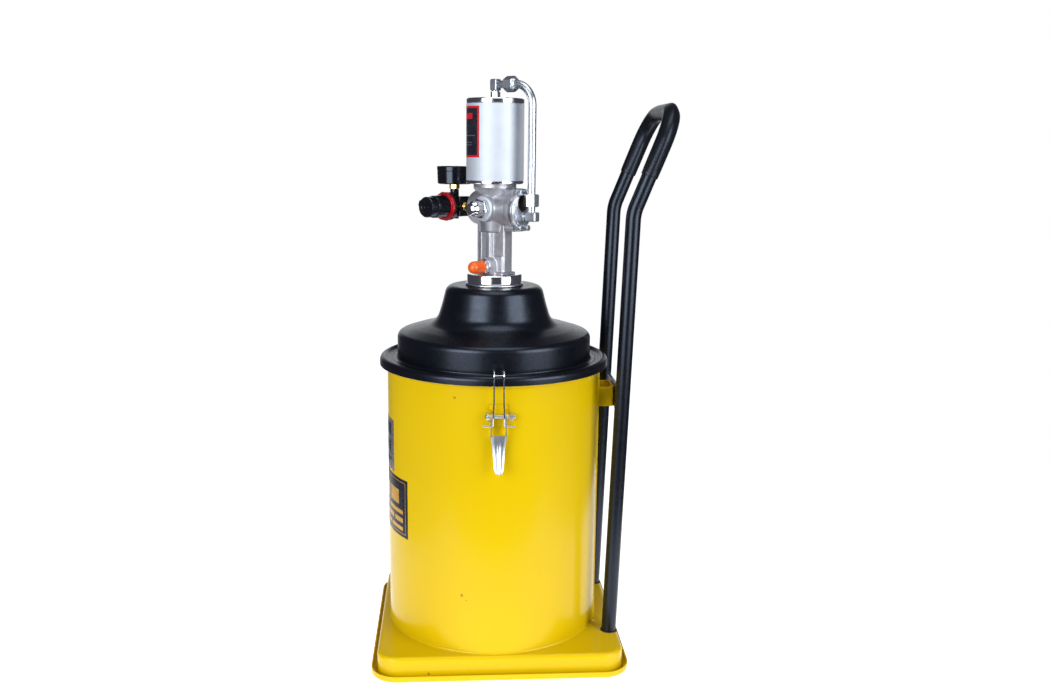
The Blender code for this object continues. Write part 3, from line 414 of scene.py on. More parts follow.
# Each look's base colour, roughness, metallic and other sockets, and then its steps: which method of Look,
# the numbers of its texture, and the rest of what it takes.
RECIPES = {
    # gloss powder coat: faint orange peel, slow shifts of tone and a few specks of dust
    "yellow_paint": ((0.62, 0.42, 0.002), 0.2, 0, {"Specular IOR Level": 0.2}, (
        ("tint", (7, 2), (0.61, 0.408, 0.002)), ("tint", (75, 1), (0.28, 0.17, 0.006), 0.785, 0.81),
        ("roughen", (30, 2), 0.18, 0.22), ("bump", (170, 1), 0.03, 0.0004))),
    # semi-gloss coat with a fine leathery texture; its Specular Tint paints a blue cast into its highlights,
    # standing for cool studio light
    "black_paint": ((0.0022, 0.0026, 0.0042), 0.29, 0, {"Specular Tint": (0.66, 0.77, 1, 1)}, (
        ("tint", (30, 4), (0.003, 0.0034, 0.0052)), ("roughen", (120, 3), 0.27, 0.32),
        ("bump", (900, 2), 0.04, 0.0001))),
    "chrome": ((0.84, 0.85, 0.87), 0.06, 1, {}, (
        ("tint", (260, 3), (0.8, 0.81, 0.84)), ("roughen", (150, 3), 0.1, 0.15))),
    # bead-blasted casting
    "cast_aluminium": ((0.53, 0.53, 0.57), 0.46, 0.85, {}, (
        ("tint", (70, 4), (0.44, 0.44, 0.48)), ("roughen", (300, 3), 0.38, 0.54),
        ("bump", (1300, 2), 0.2, 0.0001))),
    # anodised tube, with the lathe's faint lines round it
    "satin_aluminium": ((0.58, 0.62, 0.68), 0.6, 0.5, {}, (
        ("roughen", (60, 3, (0.3, 0.3, 40)), 0.57, 0.63), ("tint", (40, 3), (0.54, 0.58, 0.64)),
        ("bump", (60, 3, (0.3, 0.3, 40)), 0.04, 0.0001))),
    # bright zinc plate, cloudy and slightly blue
    "zinc_steel": ((0.72, 0.75, 0.8), 0.22, 1, {}, (
        ("tint", (240, 3), (0.6, 0.64, 0.7)), ("tint", (80, 2), (0.72, 0.7, 0.62), 0.62, 0.75),
        ("roughen", (500, 2), 0.3, 0.38), ("bump", (900, 1), 0.02, 0.0001))),
    "rod_steel": ((0.6, 0.61, 0.63), 0.18, 1, {}, (
        ("roughen", (80, 2, (1, 1, 0.1)), 0.12, 0.24), ("bump", (80, 2, (1, 1, 0.1)), 0.04, 0.0002))),
    "brass": ((0.86, 0.6, 0.2), 0.2, 1, {}, (
        ("tint", (300, 3), (0.66, 0.42, 0.12), 0.5, 0.8), ("roughen", (500, 3), 0.14, 0.3),
        ("bump", (700, 2), 0.08, 0.0002))),
    # sintered beads
    "bronze": ((0.11, 0.062, 0.026), 0.6, 0.9, {}, (
        ("tint", (1400,), (0.03, 0.017, 0.009), 0.3, 0.7), ("roughen", (900, 2), 0.45, 0.7),
        ("bump", (1400,), 0.6, 0.0004))),
    # black moulding; its Specular Tint paints a blue cast into its highlights, standing for cool studio light
    "black_plastic": ((0.0045, 0.0047, 0.0065), 0.2, 0, {"Specular Tint": (0.72, 0.82, 1, 1)}, (
        ("tint", (80, 3), (0.0065, 0.0067, 0.009)), ("roughen", (220, 3), 0.14, 0.2))),
    # the grip's satin moulding; its Specular Tint paints a blue cast into its highlights, standing for cool studio
    # light
    "grip_plastic": ((0.0032, 0.0036, 0.0056), 0.36, 0, {
        "Specular IOR Level": 0.42, "Specular Tint": (0.7, 0.8, 1, 1)}, (
        ("tint", (60, 3), (0.004, 0.0045, 0.0068)), ("roughen", (90, 2), 0.34, 0.39))),
    # red anodised metal
    "red_ring": ((0.56, 0.008, 0.022), 0.3, 0.35, {"Coat Weight": 0.3, "Coat Roughness": 0.1}, (
        ("tint", (200, 3), (0.44, 0.005, 0.016)), ("roughen", (400, 2), 0.24, 0.4))),
    "orange_plastic": ((0.83, 0.125, 0.008), 0.34, 0, {"Coat Weight": 0.2, "Coat Roughness": 0.2}, (
        ("tint", (120, 3), (0.74, 0.098, 0.006)), ("roughen", (300, 3), 0.28, 0.42),
        ("bump", (900, 2), 0.06, 0.0002))),
    "rubber": ((0.02, 0.02, 0.02), 0.7, 0, {}, (
        ("tint", (90, 3), (0.032, 0.031, 0.03)), ("roughen", (300, 3), 0.62, 0.8),
        ("bump", (1200, 2), 0.2, 0.0002))),
    "clear": ((0.97, 0.98, 0.98), 0.02, 0, {"Transmission Weight": 1.0, "IOR": 1.46}, (
        ("roughen", (200, 2), 0.01, 0.04),)),
    "label_black": ((0.012, 0.012, 0.02), 0.32, 0, {"Specular IOR Level": 0.25}, (
        ("tint", (60, 2), (0.018, 0.018, 0.028)), ("roughen", (200, 2), 0.25, 0.36))),
    "label_gold": ((0.72, 0.4, 0.05), 0.34, 0.4, {}, (
        ("tint", (400, 2), (0.58, 0.3, 0.035)), ("roughen", (500, 2), 0.28, 0.42))),
    "label_silver": ((0.62, 0.63, 0.67), 0.28, 0.9, {}, (
        ("tint", (60, 3, (1, 1, 30)), (0.5, 0.51, 0.56)), ("roughen", (60, 3, (1, 1, 30)), 0.22, 0.36))),
    "label_red": ((0.62, 0.01, 0.02), 0.32, 0, {}, (
        ("tint", (200, 2), (0.54, 0.008, 0.016)), ("roughen", (300, 2), 0.26, 0.38))),
    "dial_white": ((0.86, 0.86, 0.83), 0.45, 0, {}, (
        ("tint", (150, 3), (0.82, 0.82, 0.79)), ("roughen", (400, 2), 0.4, 0.52))),
    # the floor: pale paper
    "studio_white": ((0.8, 0.8, 0.8), 0.6, 0, {"Emission Color": (1, 1, 1, 1), "Emission Strength": 0.9}, (
        ("tint", (2, 2), (0.79, 0.79, 0.795)), ("roughen", (5, 2), 0.55, 0.65))),
}
LOOKS = {}


def look(name):
    """The material of that name, made the first time that it is asked for."""
    if name not in LOOKS:
        *constants, steps = RECIPES[name]
        found = Look(name, *constants)
        for method, numbers, *values in steps:
            getattr(found, method)(found.texture(numbers), *values)
        LOOKS[name] = found.made
    return LOOKS[name]


# ---- base and drum ----
def build_base():
    """The pressed pan, with its wall drawn down to a lip that turns up all round."""
    foot = SHEET - BASE_TOP
    section = fillet([              # out from the wall, and height
        (-0.008, 0, 0), (0, 0, 0.0055), (0, foot, 0.003), (BASE_LIP, foot, 0.0024),
        (BASE_LIP, foot + 0.008, 0),
    ], steps=6)
    shape = bmesh.new()
    loops = []
    for point in section:
        left, right, side = -BASE_LEFT - point.x, BASE_RIGHT + point.x, BASE_HALF_WIDTH + point.x
        corner = BASE_CORNER + point.x
        outline = fillet(rectangle(left, right, side, corner), closed=True, steps=14)
        loops.append([shape.verts.new((p.x, p.y, point.y)) for p in outline])
    skin(shape, loops, ends=False)
    shape.faces.new(loops[0])
    pan = made("base_pan_pressed", shape, AXIS, "yellow_paint")
    if max(pan.data.polygons, key=lambda face: face.area).normal.z < 0:
        pan.data.flip_normals()
    wall = pan.modifiers.new("wall", "SOLIDIFY")
    wall.thickness, wall.offset, wall.use_even_offset = SHEET, -1, True
    applied(pan)
    holes = [lathe("leg_hole", rod(HANDLE_RADIUS + 0.0016, -0.012, 0.006),
                   AXIS @ at(HANDLE_FOOT_X, side * HANDLE_HALF_WIDTH), steps=64) for side in (-1, 1)]
    drain = lathe("drain_hole", rod(0.0022, -0.012, 0.006), AXIS @ at(0.1535, -0.056), steps=24)
    keep(cut(pan, *holes, drain), "root", "base_pan")
    # painted shade: a dark rubber ring round each leg, where it goes through the pan, stands for the shadow in the
    # gap round the leg
    for label, side in SIDES:
        place = AXIS @ at(HANDLE_FOOT_X, side * HANDLE_HALF_WIDTH, 0)
        collar = lathe("leg_hole_shade_ring_" + label,
                       ring(HANDLE_RADIUS + 0.0001, HANDLE_RADIUS + 0.0017, -0.002, 0.0006, 0.0005),
                       place, "rubber", steps=64, closed=True)
        keep(collar, "root", slot="rubber")


def build_drum():
    wall = DRUM_RADIUS - SHEET
    bead = DRUM_RADIUS + 0.003
    drum = lathe("drum_shell", [
        (wall, GAP + SHEET, 0.004), (wall, DRUM_TOP, 0.0004), (bead, DRUM_TOP, 0.0016),
        (bead, DRUM_TOP - 0.0065, 0.0014), (DRUM_RADIUS, DRUM_TOP - 0.008, 0.0015), (DRUM_RADIUS, GAP, 0.0004),
    ], AXIS, "yellow_paint", steps=192)
    keep(drum, "root", "drum")
    foot_weld = lathe("drum_foot_weld", [
        (DRUM_RADIUS - 0.001, 0.0022, 0), (DRUM_RADIUS + 0.0001, 0.0022, 0),
        (DRUM_RADIUS + 0.0007, 0.0008, 0.0008), (DRUM_RADIUS + 0.0022, 0.0001, 0),
        (DRUM_RADIUS - 0.001, 0.0001, 0),
    ], AXIS, "yellow_paint", steps=192, closed=True)
    keep(foot_weld, "root", slot="yellow_paint")
    seam = sweep("drum_seam", [Vector((0, -DRUM_RADIUS, z)) for z in (0.006, 0.1, 0.2, 0.3, 0.39)],
                 lambda share, turn: (0.00045 * math.cos(turn), 0.0016 * math.sin(turn)),
                 AXIS @ Matrix.Rotation(SEAM_TURN, 4, "Z"), "yellow_paint", sides=16)
    keep(seam, "root", slot="yellow_paint")


def build_lid():
    """The spun lid: crown, cone, shallow dome, step, ledge with a rolled line, ridge and skirt."""
    step = LID_RADIUS - 0.0265
    lid = lathe("lid_spun", [
        (0.022, LID_TOP, 0), (0.0706, LID_TOP, 0.0125), (0.0772, 0.488, 0.03), (0.086, 0.459, 0.024),
        (0.118, 0.4515, 0.06), (step, 0.4435, 0.009), (step, LID_LEDGE, 0.003),
        (LID_RADIUS - 0.0195, LID_LEDGE, 0.0006), (LID_RADIUS - 0.019, LID_LEDGE + 0.0004, 0.0004),
        (LID_RADIUS - 0.018, LID_LEDGE, 0.0006), (LID_RADIUS - 0.0115, LID_LEDGE, 0.003),
        (LID_RADIUS - 0.008, LID_RIDGE, 0.0024), (LID_RADIUS, LID_RIDGE, 0.0068),
        (LID_RADIUS, LID_BOTTOM, 0.0006), (LID_RADIUS - SHEET, LID_BOTTOM, 0.0006),
        (LID_RADIUS - SHEET, LID_LEDGE - SHEET, 0.003), (step - SHEET, LID_LEDGE - SHEET, 0.003),
        (step - SHEET, 0.4435 - SHEET, 0.009), (0.118, 0.4515 - SHEET, 0.06),
        (0.086 - SHEET, 0.459 - SHEET, 0.024), (0.0706 - SHEET, LID_TOP - SHEET, 0.011),
        (0.022, LID_TOP - SHEET, 0),
    ], AXIS, "black_paint", steps=192, closed=True, arc=10)
    keep(lid, "root", "lid")


# ---- handle ----
def leg_x(z):
    if z <= HANDLE_BEND_Z:
        return HANDLE_FOOT_X + z * math.tan(HANDLE_LEAN)
    return leg_x(HANDLE_BEND_Z) + (z - HANDLE_BEND_Z) * math.tan(HANDLE_TILT)


def handle_path(start_z):
    """The handle's centre line from start_z on one side, over the top bar and down the other side."""
    side = [(leg_x(start_z), start_z, 0)]
    if start_z < HANDLE_BEND_Z:
        side.append((leg_x(HANDLE_BEND_Z), HANDLE_BEND_Z, 0.06))
    side.append((leg_x(HANDLE_TOP_Z), HANDLE_TOP_Z, HANDLE_CORNER))
    front = [(x, -HANDLE_HALF_WIDTH, z, radius) for x, z, radius in side]
    rear = [(x, HANDLE_HALF_WIDTH, z, radius) for x, z, radius in reversed(side)]
    return fillet(front + rear, steps=18)


def evenly(path, step):
    """The same path with points about step apart."""
    lengths = [0.0]
    for one, other in zip(path, path[1:]):
        lengths.append(lengths[-1] + (other - one).length)
    count = max(2, round(lengths[-1] / step))
    found, i = [], 0
    for k in range(count + 1):
        target = lengths[-1] * k / count
        while i < len(path) - 2 and lengths[i + 1] < target:
            i += 1
        share = (target - lengths[i]) / (lengths[i + 1] - lengths[i])
        found.append(path[i].lerp(path[i + 1], min(1.0, share)))
    return found


def grip_section(share, turn):
    """Round near its ends, and squarer, with flattened sides, where the hands push."""
    squareness = 2.0 + 1.3 * math.sin(math.pi * share) ** 0.5
    across, outward = math.cos(turn), math.sin(turn)
    reach = (abs(across) ** squareness + abs(outward) ** squareness) ** (-1 / squareness)
    size = GRIP_RADIUS - 0.001 - 0.001 * (squareness - 2.0) / 1.3
    return size * reach * across, size * reach * outward


def build_handle():
    tube = bar("handle_bent_tube", handle_path(-0.027), HANDLE_RADIUS - 0.00015, AXIS, "black_paint", sides=40)
    keep(tube, "root", "handle_tube")
    grip = sweep("handle_grip_sleeve", evenly(handle_path(GRIP_END_Z + 0.002), 0.004), grip_section, AXIS,
                 "grip_plastic", sides=48)
    keep(grip, "root", "handle_grip", slot="black_plastic")
    tilt = Matrix.Rotation(HANDLE_TILT, 4, "Y")
    for label, side in SIDES:
        end = AXIS @ at(leg_x(GRIP_END_Z), side * HANDLE_HALF_WIDTH, GRIP_END_Z) @ tilt
        collar = lathe("grip_collar_" + label,
                       ring(HANDLE_RADIUS, GRIP_RADIUS - 0.0008, 0.0005, 0.006, 0.001),
                       end, "grip_plastic", steps=72, closed=True, ripple=(6, 0.0003, -0.001, 0.0035))
        keep(collar, "root", slot="black_plastic")
        shape = bmesh.new()
        for row in range(16):
            for column in range(-2, 3):
                low = 0.0105 + row * 0.0027
                across = column * 0.0019 + (row % 2) * 0.0009
                bmesh.ops.create_cube(shape, size=1, matrix=at(across, side * (GRIP_RADIUS - 0.0014), low)
                                      @ Matrix.Rotation(math.radians(45), 4, "Y")
                                      @ Matrix.Diagonal((0.0013, 0.001, 0.0013, 1)))
        knurl = made("grip_knurl_" + label, shape, end, "grip_plastic", 60)
        keep(knurl, "root", slot="black_plastic")


def weld_section(share, turn):
    """A round bead with ripples along it."""
    radius = 0.0013 * (1 + 0.12 * math.sin(share * 60))
    return radius * math.cos(turn), radius * math.sin(turn)


def build_bracket():
    """The folded channel welded to the drum, the flat bar behind the legs and its two bolts."""
    outer, low, high = 0.181, 0.332, 0.362
    channel = slab("handle_bracket_folded", [
        (0.158, -0.024, 0), (outer, -0.024, 0.005), (outer, 0.024, 0.005), (0.158, 0.024, 0),
        (0.158, 0.0216, 0), (outer - 0.0024, 0.0216, 0.0027), (outer - 0.0024, -0.0216, 0.0027),
        (0.158, -0.0216, 0),
    ], low, high, AXIS, "yellow_paint", bevel=0.0005)
    trim = lathe("trim", rod(DRUM_RADIUS + GAP, low - 0.01, high + 0.01), AXIS, steps=192)
    keep(cut(channel, trim), "root", "handle_bracket")
    for label, side in SIDES:
        line = [Vector((0.1588, side * 0.0246, low + 0.001 + i * 0.0014)) for i in range(21)]
        weld = sweep("bracket_weld_" + label, line, weld_section, AXIS, "yellow_paint", sides=16)
        keep(weld, "root", slot="yellow_paint")
    crossbar = block("handle_crossbar_flat", (outer + GAP, -0.0776, 0.331), (outer + 0.005, 0.0776, 0.368),
                     AXIS, "black_paint", bevel=0.0009)
    keep(crossbar, "root", "handle_crossbar")
    for label, side in SIDES:
        place = AXIS @ at(0, side * 0.012, 0.347) @ RIGHT
        bolt = nut("bracket_screw_" + label, 0.0125, outer + 0.0062, outer + 0.0104, place, "zinc_steel")
        washer = lathe("washer", rod(0.0074, outer + 0.0053, outer + 0.0064, 0.0002), place, steps=48)
        shank = lathe("shank", rod(0.0039, 0.172, outer + 0.007), place, steps=32)
        keep(join(bolt, washer, shank), "root", "bracket_bolt_" + label)


# ---- latches ----
def bail_path():
    """The bail's wire from end to end, seen from its own pivot."""
    pivot = JOINTS["front_bail_pivot"]["pos_m"]
    out_from_axis, height = -pivot[1], pivot[2] - BASE_TOP
    hook_in = out_from_axis - 0.153
    hook_down = LID_LEDGE + BAIL_WIRE + GAP - height
    run = LID_RADIUS + 0.0028 - out_from_axis
    rise = LID_RIDGE + 0.0075 - height
    half = [                        # across, out, up, fillet
        (-0.022, 0, 0, 0), (-0.0078, 0, 0, 0.002), (-0.0078, 0.0028, 0.012, 0.01),
        (-0.0067, run, 0.034, 0.02), (-0.0067, run, rise, 0.0065),
        (-0.0067, -hook_in, rise, 0.0045), (-0.0067, -hook_in, hook_down, 0.0018),
    ]
    whole = half + [(-across, out, up, radius) for across, out, up, radius in reversed(half)]
    return fillet([(across, -out, up, radius) for across, out, up, radius in whole], steps=8)


def lever_tongue(name, place, slot):
    """The lever's tapering tongue, pressed with rolled edges and a groove down its middle."""
    rows = [                        # out, up, half width, depth of the groove
        (0.0062, -0.0256, 0.0109, 0.0), (0.0063, -0.029, 0.0107, 0.0), (0.0064, -0.034, 0.0101, 0.0004),
        (0.0066, -0.042, 0.009, 0.001), (0.008, -0.054, 0.0078, 0.0012), (0.0112, -0.066, 0.007, 0.0012),
        (0.0132, -0.072, 0.0064, 0.001), (0.0143, -0.0755, 0.0054, 0.0006), (0.0149, -0.0777, 0.0038, 0.0003),
        (0.0151, -0.0785, 0.002, 0.0),
    ]
    fine = []
    for i in range(len(rows) - 1):
        before, here = rows[max(0, i - 1)], rows[i]
        after, beyond = rows[i + 1], rows[min(len(rows) - 1, i + 2)]
        for k in range(4):
            t = k / 4
            fine.append([0.5 * (2 * b + (c - a) * t + (2 * a - 5 * b + 4 * c - d) * t ** 2
                                + (3 * b - a - 3 * c + d) * t ** 3)
                         for a, b, c, d in zip(before, here, after, beyond)])
    fine.append(list(rows[-1]))
    shape = bmesh.new()
    loops = []
    for out, up, half, groove in fine:
        loop = []
        for k in range(-10, 11):
            across = k / 10
            dip = 0.0012 * abs(across) ** 4 + groove * math.exp(-(across / 0.22) ** 2)
            loop.append(shape.verts.new((half * across, -out + dip, up)))
        loops.append(loop)
    skin(shape, loops, around=False, ends=False)
    tongue = made(name, shape, place, slot)
    if sum(face.normal.y * face.area for face in tongue.data.polygons) > 0:
        tongue.data.flip_normals()
    wall = tongue.modifiers.new("wall", "SOLIDIFY")
    wall.thickness, wall.offset, wall.use_even_offset = 0.0013, -1, True
    return applied(tongue)


def build_latch(label, turn):
    frame_of = AXIS @ Matrix.Rotation(turn, 4, "Z")
    lever_at = JOINTS["front_lever_pivot"]["pos_m"]
    bail_at = JOINTS["front_bail_pivot"]["pos_m"]
    pivot = frame_of @ at(0, lever_at[1], lever_at[2] - BASE_TOP)
    bail_pivot = frame_of @ at(0, bail_at[1], bail_at[2] - BASE_TOP)

    plate = block("latch_plate", (-0.0129, -DRUM_RADIUS - SHEET, -0.016), (0.0129, -DRUM_RADIUS - GAP, 0.016),
                  frame_of @ at(0, 0, lever_at[2] - BASE_TOP), "yellow_paint", bevel=0.0004)
    ear = [(0.0044, 0.0044, 0.0043), (-0.0056, 0.01, 0.001), (-0.0056, -0.01, 0.001),
           (0.0044, -0.0044, 0.0043)]
    ears = [slab("ear", ear, low, low + 0.0015, pivot @ PROFILE, bevel=0.0002) for low in (-0.0129, 0.0114)]
    keep(join(plate, *ears), "root", "latch_bracket_" + label)

    bolt = lathe("latch_bolt_" + label, [
        (0, -0.0184, 0), (0.003, -0.0184, 0.0008), (0.0052, -0.0164, 0.0011), (0.0052, -0.0134, 0.0003),
        (0.0025, -0.0134, 0), (0.0025, 0.0232, 0.0004), (0, 0.0236, 0),
    ][::-1], pivot @ RIGHT, "zinc_steel", steps=40)
    keep(bolt, "root", "latch_pivot_" + label)
    lock_nut = nut("latch_lock_nut_" + label, 0.0093, 0.0145, 0.0197, pivot @ RIGHT, "zinc_steel",
                   bore=0.0026, turn=0.3)
    keep(lock_nut, "root", "latch_nut_" + label)

    lever = lever_tongue("latch_lever_pressed_" + label, pivot, "zinc_steel")
    side = [(-0.0043, 0.0043, 0.0042), (-0.003, -0.014, 0.003), (0.0018, -0.0292, 0.0015),
            (0.0068, -0.0292, 0.001), (0.0068, -0.015, 0.003), (0.0042, 0.0043, 0.0042)]
    sides = [slab("side", side, low, low + 0.0013, pivot @ PROFILE, bevel=0.0002) for low in (-0.0109, 0.0096)]
    join(lever, *sides)
    cut(lever,
        lathe("pivot_hole", rod(0.0028, -0.02, 0.02), pivot @ RIGHT, steps=32),
        lathe("bail_hole", rod(BAIL_WIRE + GAP, -0.02, 0.02), bail_pivot @ RIGHT, steps=24))
    keep(lever, label + "_lever", "latch_lever_" + label)

    bail = bar("latch_bail_wire_" + label, bail_path(), BAIL_WIRE - 0.00003, bail_pivot, "chrome", sides=20)
    keep(bail, label + "_bail", "latch_bail_" + label, slot="chrome")


# ---- pump body ----
def cast(obj, voxel, rounds, others):
    """Melts overlapping shapes into one casting, with small rounds along its edges and in its corners."""
    shape = bmesh.new()
    shape.from_mesh(obj.data)
    for other in others:
        applied(other)
        other.data.transform(obj.matrix_world.inverted() @ other.matrix_world)
        shape.from_mesh(other.data)
        bpy.data.objects.remove(other, do_unlink=True)
    shape.to_mesh(obj.data)
    shape.free()
    remesh = obj.modifiers.new("remesh", "REMESH")
    remesh.mode, remesh.voxel_size = "VOXEL", voxel
    soften = obj.modifiers.new("soften", "SMOOTH")
    soften.factor, soften.iterations = 0.5, rounds
    return applied(obj)


def stud_places():
    return [PUMP @ at(0, y, VALVE_Z + z) @ RIGHT for y in (-COVER_BOLT_Y, COVER_BOLT_Y)
            for z in (-COVER_BOLT_Z, COVER_BOLT_Z)]


def build_pump_body():
    """One casting: foot, ribbed column, valve barrel along X, bosses, and the pedestal of the air motor."""
    level, valve = PUMP @ at(0, 0, HEAD_Z), PUMP @ at(0, 0, VALVE_Z)
    inlet, outlet = PUMP @ at(0, 0, REGULATOR_Z) @ LEFT, PUMP @ at(0, 0, OUTLET_Z) @ FRONT
    top = MOTOR_BOTTOM - GAP
    face = VALVE_FACE - GAP
    half, depth = 0.0262, 0.0095
    body = lathe("pump_body_cast", [
        (0.0315, top + 0.002, 0), (0.0315, 0.656, 0.004), (0.0225, 0.6445, 0.008),
        (0.016, 0.62, 0),
    ], PUMP, "cast_aluminium", steps=120)
    shapes = [
        lathe("barrel", [(0.025, 0.04, 0), (0.025, -0.037, 0.006)],
              level @ RIGHT, steps=120, arc=10),
        lathe("flare", [(0.0265, face + 0.002, 0), (0.0265, 0.04, 0.001),
                        (0.024, 0.0345, 0)], valve @ RIGHT, steps=120),
        slab("ears", rectangle(-0.0305, 0.0305, 0.013, 0.005), 0.04, face + 0.002, valve @ RIGHT),
        lathe("detent_boss", rod(0.0192, 0, 0.0275), level @ FRONT, steps=96),
        lathe("inlet_boss", rod(0.0135, 0.02, 0.0425, 0.001), inlet, steps=96),
        lathe("shoulder", [(0.024, HEAD_Z - 0.008, 0), (0.019, HEAD_Z - 0.034, 0)], PUMP, steps=96),
        block("column", (-half, -depth, FLANGE_TOP - 0.002), (half, depth, HEAD_Z - 0.004), PUMP, bevel=0.0016),
        block("rib", (-0.005, -0.0148, FLANGE_TOP), (0.005, 0.0148, HEAD_Z), PUMP, bevel=0.003),
        block("foot", (-0.028, -0.0155, FLANGE_TOP - 0.003), (0.028, 0.0155, FLANGE_TOP + 0.0036), PUMP,
              bevel=0.0015),
        slab("outlet_boss", [(0.0132, OUTLET_Z - 0.016, 0), (0.0132, OUTLET_Z + 0.0132, 0.0131),
                             (-0.0132, OUTLET_Z + 0.0132, 0.0131), (-0.0132, OUTLET_Z - 0.016, 0)],
             0, 0.0215, PUMP @ FRONT, steps=16),
    ]
    shapes += [lathe("stud_boss", rod(0.0054, 0.029, face + 0.002), place, steps=40)
               for place in stud_places()]
    for side in (-1, 1):            # the raised pads low on the wide panel, front and rear
        left = 0.004 if side < 0 else -0.0225
        shapes.append(block("pad", (left, side * depth - 0.0011, FLANGE_TOP),
                            (left + 0.0185, side * depth + 0.0011, FLANGE_TOP + 0.0265), PUMP))
    cast(body, 0.00075, 5, shapes)

    tools = [
        block("trim_top", (-0.05, -0.05, top), (0.05, 0.05, top + 0.01), PUMP),
        block("trim_foot", (-0.05, -0.05, FLANGE_TOP - 0.01), (0.05, 0.05, FLANGE_TOP + GAP), PUMP),
        block("trim_face", (face, -0.05, VALVE_Z - 0.05), (face + 0.02, 0.05, VALVE_Z + 0.05), PUMP),
        block("trim_detent", (-0.03, -0.04, HEAD_Z - 0.03), (0.03, -0.0255, HEAD_Z + 0.03), PUMP),
        block("trim_outlet", (-0.03, -0.04, OUTLET_Z - 0.02), (0.03, -0.02, OUTLET_Z + 0.03), PUMP),
        block("trim_inlet", (-0.06, -0.03, REGULATOR_Z - 0.03), (-0.0402, 0.03, REGULATOR_Z + 0.03), PUMP),
        lathe("chamber", rod(0.0175, 0.011, 0.06), valve @ RIGHT),
        lathe("rod_bore", rod(0.0055, 0.5, 0.7), PUMP, steps=48),
        lathe("outlet_bore", rod(0.004, 0, 0.03), outlet, steps=40),
        lathe("inlet_bore", rod(0.0045, 0.008, 0.06), inlet, steps=40),
        lathe("adapter_seat", rod(0.0068, 0.0355, 0.06), inlet, steps=48),
    ]
    tools += [lathe("stud_hole", rod(0.0026, 0.03, 0.06), place, steps=24) for place in stud_places()]
    for side in (-1, 1):            # on each wide panel, a pocket near one edge and a scored line at the other
        for x in (-0.0182, 0.0182):
            y = side * depth
            if x * side > 0:
                tool = block("pocket", (x - 0.004, y - 0.0042, 0.54), (x + 0.004, y + 0.0042, 0.592), PUMP,
                             bevel=0.0014)
            else:
                tool = block("score", (x - 0.0092, y - 0.0009, 0.5588), (x + 0.0092, y + 0.0009, 0.5596), PUMP)
            tools.append(tool)
    cut(body, *tools)
    keep(body, "root", "pump_body")


def build_valve():
    """The slide valve's cover with its steps, its sintered silencer and four socket screws."""
    level = PUMP @ at(0, 0, VALVE_Z)
    inner = VALVE_FACE + GAP
    cover = lathe("valve_cover_turned", [
        (0.0212, COVER_FACE, 0.001), (0.022, COVER_FACE - 0.0014, 0.0006),
        (0.0234, COVER_FACE - 0.0016, 0.0012), (0.0255, inner + 0.0042, 0.0008), (0.0255, inner, 0.0003),
    ], level @ RIGHT, "zinc_steel", steps=120)
    ears = slab("ears", rectangle(-0.0303, 0.0303, 0.0128, 0.0048), inner + 0.00005, inner + 0.004,
                level @ RIGHT, bevel=0.0004)
    muffler = level @ at(0, 0, MUFFLER_RISE) @ RIGHT
    tools = [
        lathe("muffler_seat", [(0.0128, 0.06, 0), (0.0128, COVER_FACE, 0),
                               (0.012, COVER_FACE - 0.0008, 0), (0.012, 0.0485, 0)], muffler),
        lathe("exhaust_port", rod(0.006, 0.04, 0.05), muffler, steps=40),
        lathe("elbow_port", rod(0.0058, 0.04, 0.06), level @ at(0, 0, ELBOW_DROP) @ RIGHT, steps=40),
    ]
    head = inner + 0.004 + GAP
    for number, place in enumerate(stud_places(), 1):
        tools += [lathe("screw_hole", rod(0.0026, 0.04, 0.06), place, steps=24),
                  lathe("spot_face", rod(0.0048, head - GAP, 0.06), place, steps=40)]
        screw = lathe(f"cover_screw_{number}", [
            (0.0042, head + 0.0072, 0.0007), (0.0042, head, 0.0002), (0.0023, head, 0),
            (0.0023, 0.0324, 0), (0.0019, 0.032, 0),
        ], place, "zinc_steel", steps=72, ripple=(24, 0.00022, head + 0.0006, head + 0.0064))
        socket = nut("socket", 0.004, head + 0.004, head + 0.012, place)
        keep(cut(screw, socket), "root", f"cover_bolt_{number}")
    join(cover, ears)
    keep(cut(cover, *tools), "root", "valve_cover")
    silencer = lathe("exhaust_silencer_sintered", [
        (0, 0.0516, 0), (0.003, 0.0515, 0.004), (0.0106, 0.0506, 0.001), (0.0117, 0.05, 0.0006),
        (0.0117, 0.0488, 0),
    ], muffler, "bronze", steps=72)
    keep(silencer, "root", "exhaust_muffler")


def build_detent():
    level = PUMP @ at(0, 0, HEAD_Z) @ FRONT
    washer = lathe("detent_washer_turned", [
        (0.015, 0.0286, 0.0004), (0.016, 0.0282, 0.001), (0.0178, 0.0276, 0.001),
        (0.0178, 0.0258, 0.0004),
    ], level, "satin_aluminium", steps=120)
    keep(washer, "root", "detent_washer", slot="satin_aluminium")
    cap = nut("detent_cap_acorn", 0.0257, 0.0289, 0.0366, level, "chrome", turn=0.35)
    dome = lathe("dome", [
        (0.0042, 0.0568, 0.002), (0.0088, 0.0545, 0.005), (0.0116, 0.049, 0.006),
        (0.0118, 0.0392, 0.001), (0.0106, 0.0384, 0.0006), (0.0106, 0.036, 0),
    ], level, steps=96, arc=10)
    keep(join(cap, dome), "root", "detent_cap")


def build_flange():
    """The chromed flange on the lid's crown, and the bright washer that shows below it."""
    seat = LID_TOP + GAP
    gasket = lathe("flange_washer", ring(0.0198, 0.0431, seat, seat + 0.0027, 0.001), PUMP, "zinc_steel",
                   steps=120, closed=True)
    keep(gasket, "root", "flange_gasket")
    flange = lathe("pump_flange_turned", [
        (0.0198, FLANGE_TOP, 0), (0.0398, FLANGE_TOP, 0.0009), (0.041, FLANGE_TOP - 0.0012, 0.0006),
        (0.041, seat + 0.0046, 0.0008), (0.0402, seat + 0.003, 0.0006), (0.0198, seat + 0.003, 0),
    ], PUMP, "chrome", steps=160, closed=True)
    keep(flange, "root", "pump_flange")


